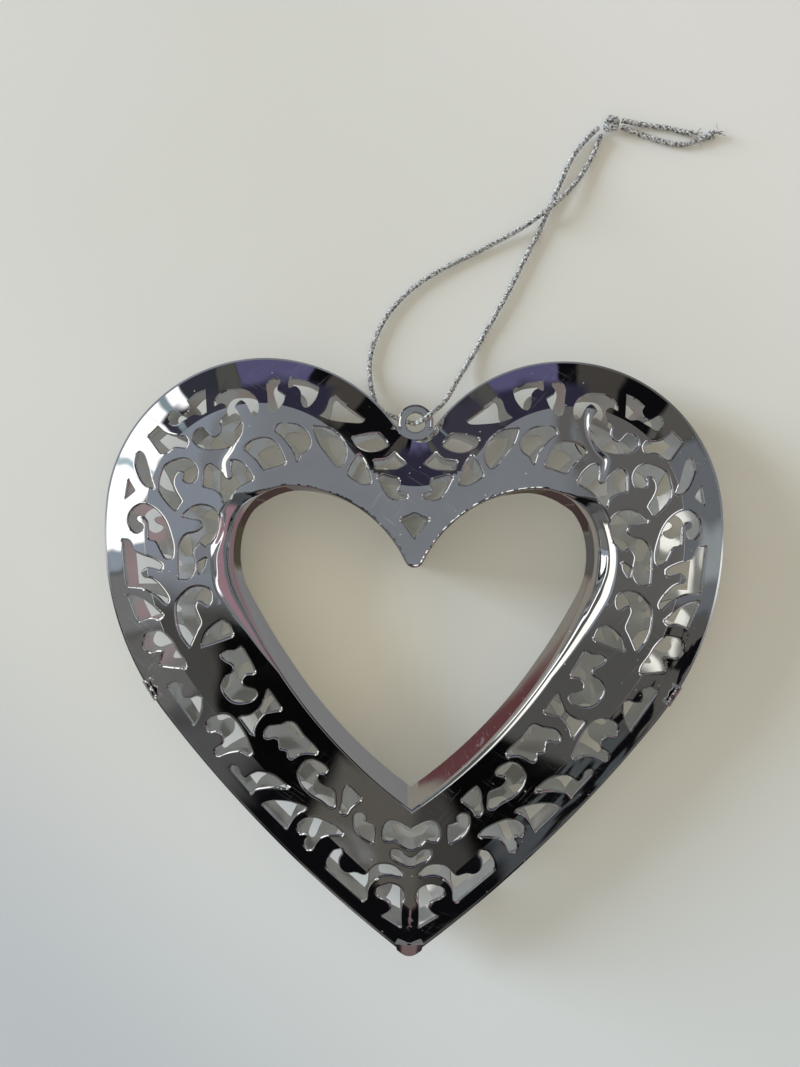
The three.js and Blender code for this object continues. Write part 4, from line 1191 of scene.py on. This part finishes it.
# Cards round the table: bearing from and to (0 on the tip's side, 90 right, 180 on the lug's side),
# elevation from and to, linear colour, softness of the upright and of the level edges, angles in degrees
CARDS = {
    "front_left": (318, 361, -14, 62, (0.004, 0.004, 0.005), 4.0, 4),
    "front_right": (-1, 33, -14, 62, (0.004, 0.004, 0.005), 2.0, 4),
    "pink_front": (334, 361, 9, 40, (0.19, 0.135, 0.13), 2.0, 3),
    "pink_front_right": (-1, 26, 9, 40, (0.19, 0.135, 0.13), 2.0, 3),
    "dark_teal": (33, 50, -14, 58, (0.07, 0.078, 0.081), 1.5, 4),
    "olive_right": (50, 74, -14, 58, (0.095, 0.091, 0.083), 1.5, 4),
    "grey_right": (74, 119, -14, 56, (0.145, 0.155, 0.165), 2.0, 4),
    "pale_right": (82, 92, -14, 2, (0.30, 0.33, 0.33), 2.0, 3),
    "brown": (119, 131, -14, 34, (0.10, 0.094, 0.082), 1.0, 4),
    "warm_dark": (148, 164, -14, 28, (0.062, 0.056, 0.049), 1.0, 4),
    "violet_high": (160, 206, 8, 30, (0.03, 0.028, 0.05), 2.0, 4),
    "violet": (172, 200, -14, 10, (0.105, 0.098, 0.19), 0.8, 4),
    "dark_grey": (200, 208, -14, 24, (0.085, 0.084, 0.076), 1.0, 4),
    "slate": (208, 221, -14, 24, (0.036, 0.038, 0.05), 1.0, 4),
    "slate_far": (206, 236, 7, 32, (0.045, 0.043, 0.06), 3.0, 3),
    "white_low": (221, 234, -14, 4, (1.5, 1.5, 1.5), 0.7, 2),
    "white_left": (234, 274, -14, 14, (1.5, 1.5, 1.5), 0.7, 2),
    "bar_far": (226.5, 229.5, -14, 14, (0.25, 0.32, 0.34), 0.8, 4),
    "bar_near": (250, 252.5, -14, 14, (0.50, 0.62, 0.66), 0.8, 4),
    "blue_edge": (274, 278, -14, 60, (0.30, 0.345, 0.40), 0.6, 4),
    "grey_left": (278, 291, -14, 62, (0.185, 0.187, 0.182), 1.5, 4),
    "grey_left_low": (291, 309, -14, 62, (0.145, 0.142, 0.137), 2.0, 4),
    "grey_left_dim": (309, 318, -14, 62, (0.09, 0.09, 0.09), 3.0, 4),
    "grey_shoulder": (225, 300, 19, 60, (0.11, 0.108, 0.1), 3.0, 3),
    "white_bar": (236, 296, 36, 69, (1.4, 1.36, 1.24), 2.0, 2),
    "pink_card": (50, 119, 16, 55, (0.34, 0.21, 0.24), 4.0, 3),
    "pink_low": (50, 119, -46, -18, (0.25, 0.15, 0.17), 4.0, 3),
    "white_strip": (58, 112, 56, 66, (1.4, 1.4, 1.4), 3.0, 1.5),
    "black_gap": (120.5, 128, 8, 70, (0.004, 0.004, 0.004), 0.8, 4),
}
# The same for the directions below the table's edge, which the opening's wall mirrors
LOW_CARDS = {
    "dark_low": (300, 361, -89, -45, (0.06, 0.04, 0.035), 5.0, 3),
    "dark_low_right": (-1, 60, -89, -45, (0.06, 0.04, 0.035), 3.0, 3),
    "olive_low": (55, 98, -84, -45, (0.07, 0.063, 0.04), 6.0, 3),
    "grey_low": (100, 150, -84, -45, (0.21, 0.21, 0.21), 4.0, 3),
    "grey_dim_low": (256, 300, -84, -45, (0.1, 0.097, 0.09), 5.0, 3),
    "beige_low": (225, 256, -84, -76.2, (0.24, 0.22, 0.185), 5.0, 0.4),
    "red_low": (236, 262, -76.2, -72.6, (0.12, 0.046, 0.048), 3.0, 0.5),
}
# Cards overhead: corners of an outline, clockwise, as right and beyond per unit of height; colour; softness
OVERHEAD = {
    "left_pale": ([(-0.37, 0.5), (-0.19, 0.5), (-0.19, -0.05), (-0.37, -0.07)], (0.265, 0.29, 0.33), 0.03),
    "right_warm": ([(0.24, 0.5), (0.37, 0.5), (0.37, -0.6), (0.2, -0.6)], (0.125, 0.12, 0.112), 0.04),
    "low_left": ([(-0.37, -0.07), (-0.2, -0.09), (-0.05, -0.6), (-0.37, -0.6)], (0.07, 0.068, 0.062), 0.02),
    "low_right": ([(0.05, -0.12), (0.37, -0.1), (0.37, -0.6), (0.05, -0.6)], (0.088, 0.086, 0.08), 0.05),
    "black_flag": ([(-0.22, -0.1), (-0.15, -0.13), (0.2, -0.235), (0.22, -0.3), (0.12, -0.5), (-0.12, -0.5),
        (-0.225, -0.22)], (0.002, 0.002, 0.002), 0.006),
    "brown_patch": ([(-0.07, -0.28), (0.03, -0.3), (0.05, -0.5), (-0.14, -0.5), (-0.115, -0.39)],
        (0.11, 0.102, 0.087), 0.012),
    "brown_dim": ([(0.02, -0.295), (0.05, -0.31), (0.1, -0.41), (0.11, -0.5), (0.03, -0.5)],
        (0.055, 0.051, 0.046), 0.012),
}
GRAIN_PATCH = ([(-0.1, -0.37), (-0.03, -0.38), (-0.03, -0.5), (-0.12, -0.5)], (0.21, 0.21, 0.21), 0.01)
ABOVE = (0.212, 0.226, 0.243)
BELOW = (0.27, 0.25, 0.21)
BLACK = (0.004, 0.004, 0.005)
# Elevations over which the table's tone ends and the ceiling's begins, and over which overhead cards begin
TABLE_END = (-16, -8)
CEILING = (24, 44)
OVERHEAD_FROM = (52, 60)
# How far the edges of the cards sway, in degrees of bearing and of elevation
SWAY = (2, 5)
# Black streaks on the right: bearings and elevations between which they lie
STREAKS = (37, 74, -14, 12)
# What is left of the surround once it has been thrown to and fro inside the hollow
HOLLOW = (0.33, 0.33, 0.32)


def span(tree, value, low, high, soft):
    """Masks of both ends of a range."""
    return [between(tree, value, low - soft, low + soft, 0, 1, True),
            between(tree, value, high - soft, high + soft, 1, 0, True)]


def painted(tree, masks, colour, paint):
    """A colour painted over where all the masks let it show."""
    return mixed(tree, joined(tree, "MINIMUM", masks), colour, paint)


def card_sides(tree, plan, corners, soft):
    """Masks of the sides of a card overhead."""
    out = []
    for (ax, ay), (bx, by) in zip(corners, corners[1:] + corners[:1]):
        length = math.hypot(bx - ax, by - ay)
        away = ((ay - by) / length, (bx - ax) / length, 0)
        reach = node(tree, "ShaderNodeVectorMath", {0: plan, 1: away}, operation="DOT_PRODUCT")
        edge = away[0] * ax + away[1] * ay
        out.append(between(tree, reach.outputs["Value"], edge - soft, edge + soft, 1, 0, True))
    return out


def surround(tree):
    """Colour of the painted surround for a direction."""
    way = node(tree, "ShaderNodeTexCoord").outputs["Generated"]
    apart = parted(tree, way)
    turn = maths(tree, "ARCTAN2", apart[0], maths(tree, "MULTIPLY", apart[1], -1.0))
    bearing = maths(tree, "WRAP", maths(tree, "DEGREES", turn), 360.0, 0.0)
    elevation = maths(tree, "DEGREES", maths(tree, "ARCSINE", apart[2]))

    drift = node(tree, "ShaderNodeTexNoise", {"Vector": way, "Scale": 6, "Detail": 0}).outputs["Color"]
    sway = parted(tree, drift)
    loose_bearing = maths(tree, "ADD", bearing, between(tree, sway[0], 0, 1, -SWAY[0], SWAY[0]))
    loose_elevation = maths(tree, "ADD", elevation, between(tree, sway[1], 0, 1, -SWAY[1], SWAY[1]))

    colour = mixed(tree, between(tree, elevation, *TABLE_END, 0, 1, True), BELOW, BLACK)
    colour = mixed(tree, between(tree, elevation, *CEILING, 0, 1, True), colour, ABOVE)
    for first, last, low, high, paint, soft, level in LOW_CARDS.values():
        sides = span(tree, bearing, first, last, soft) + span(tree, elevation, low, high, level)
        colour = painted(tree, sides, colour, paint)
    for first, last, low, high, paint, soft, level in CARDS.values():
        sides = span(tree, loose_bearing, first, last, soft) + span(tree, loose_elevation, low, high, level)
        colour = painted(tree, sides, colour, paint)
    chart = node(tree, "ShaderNodeCombineXYZ", {0: bearing, 1: elevation}).outputs[0]
    streak = between(tree, noise(tree, 0.13, 2.0, 0.55, chart), 0.5, 0.54, 0, 1)
    first, last, low, high = STREAKS
    sides = span(tree, bearing, first, last, 2) + span(tree, elevation, low, high, 3)
    colour = painted(tree, [streak] + sides, colour, BLACK)
    flatten = maths(tree, "DIVIDE", 1.0, maths(tree, "MAXIMUM", apart[2], 0.2))
    plan = node(tree, "ShaderNodeVectorMath", {0: way, "Scale": flatten}, operation="SCALE").outputs[0]
    high_up = between(tree, elevation, *OVERHEAD_FROM, 0, 1, True)
    for corners, paint, soft in OVERHEAD.values():
        colour = painted(tree, [high_up] + card_sides(tree, plan, corners, soft), colour, paint)
    corners, paint, soft = GRAIN_PATCH
    wave = node(tree, "ShaderNodeTexWave", {"Vector": plan, "Scale": 26, "Distortion": 7, "Detail": 1,
                "Detail Scale": 1.4}, bands_direction="DIAGONAL").outputs["Fac"]
    sides = [high_up, between(tree, wave, 0.2, 0.9, 0, 0.8)] + card_sides(tree, plan, corners, soft)
    return painted(tree, sides, colour, paint)


# Colours of the plain room, on the window's side and on the other
WINDOW_SIDE = (0.75, 0.73, 0.65)
ROOM_SIDE = (0.60, 0.55, 0.43)

world = bpy.data.worlds.new("soft_room")
bpy.context.scene.world = world
world.use_nodes = True
room = world.node_tree
plain = room.nodes["Background"]
from_left = parted(room, node(room, "ShaderNodeTexCoord").outputs["Generated"])[0]
shade = between(room, from_left, -0.8, 0.6, 0, 1, True)
connect(room, plain, {"Color": mixed(room, shade, WINDOW_SIDE, ROOM_SIDE)})
light_path = node(room, "ShaderNodeLightPath").outputs
worn = between(room, light_path["Glossy Depth"], 1, 3, 0, 0.8)
mirrored = node(room, "ShaderNodeBackground", {"Color": mixed(room, worn, surround(room), HOLLOW)})
seen = node(room, "ShaderNodeMath", {0: light_path["Is Glossy Ray"], 1: light_path["Diffuse Depth"]},
            operation="SUBTRACT", use_clamp=True).outputs[0]
pick = node(room, "ShaderNodeMixShader", {0: seen, 1: plain.outputs[0], 2: mirrored.outputs[0]})
room.links.new(pick.outputs[0], room.nodes["World Output"].inputs[0])


# Stage, light and camera; the camera's place and turn come from the photograph's wide-angle view

LAMP_AT = (-1.9, 0.6, 0.54)
CAMERA_AT = (-0.002383, 0.021157, 0.1427)
CAMERA_TURN = math.radians(0.674)
CAMERA_LENS = 27.09

bpy.ops.mesh.primitive_plane_add(size=4, location=(0, 0, -0.0001))
floor = bpy.context.object
floor.name = "table"
floor.visible_glossy = False
floor.data.materials.append(table_top("table_top"))

lamp = bpy.data.objects.new("soft_window", bpy.data.lights.new("soft_window", "AREA"))
lamp.data.energy = 58
lamp.data.size = 0.75
lamp.data.color = (0.75, 0.87, 1.0)
lamp.location = LAMP_AT
lamp.rotation_euler = (-Vector(LAMP_AT)).to_track_quat("-Z", "Y").to_euler()
lamp.visible_glossy = False
bpy.context.collection.objects.link(lamp)

camera = bpy.data.objects.new("camera", bpy.data.cameras.new("camera"))
camera.data.sensor_width = 36
camera.data.lens = CAMERA_LENS
camera.data.clip_start = 0.01
camera.location = CAMERA_AT
camera.rotation_euler = (0, 0, CAMERA_TURN)
bpy.context.collection.objects.link(camera)
bpy.context.scene.camera = camera
bpy.context.scene.view_settings.view_transform = "Standard"
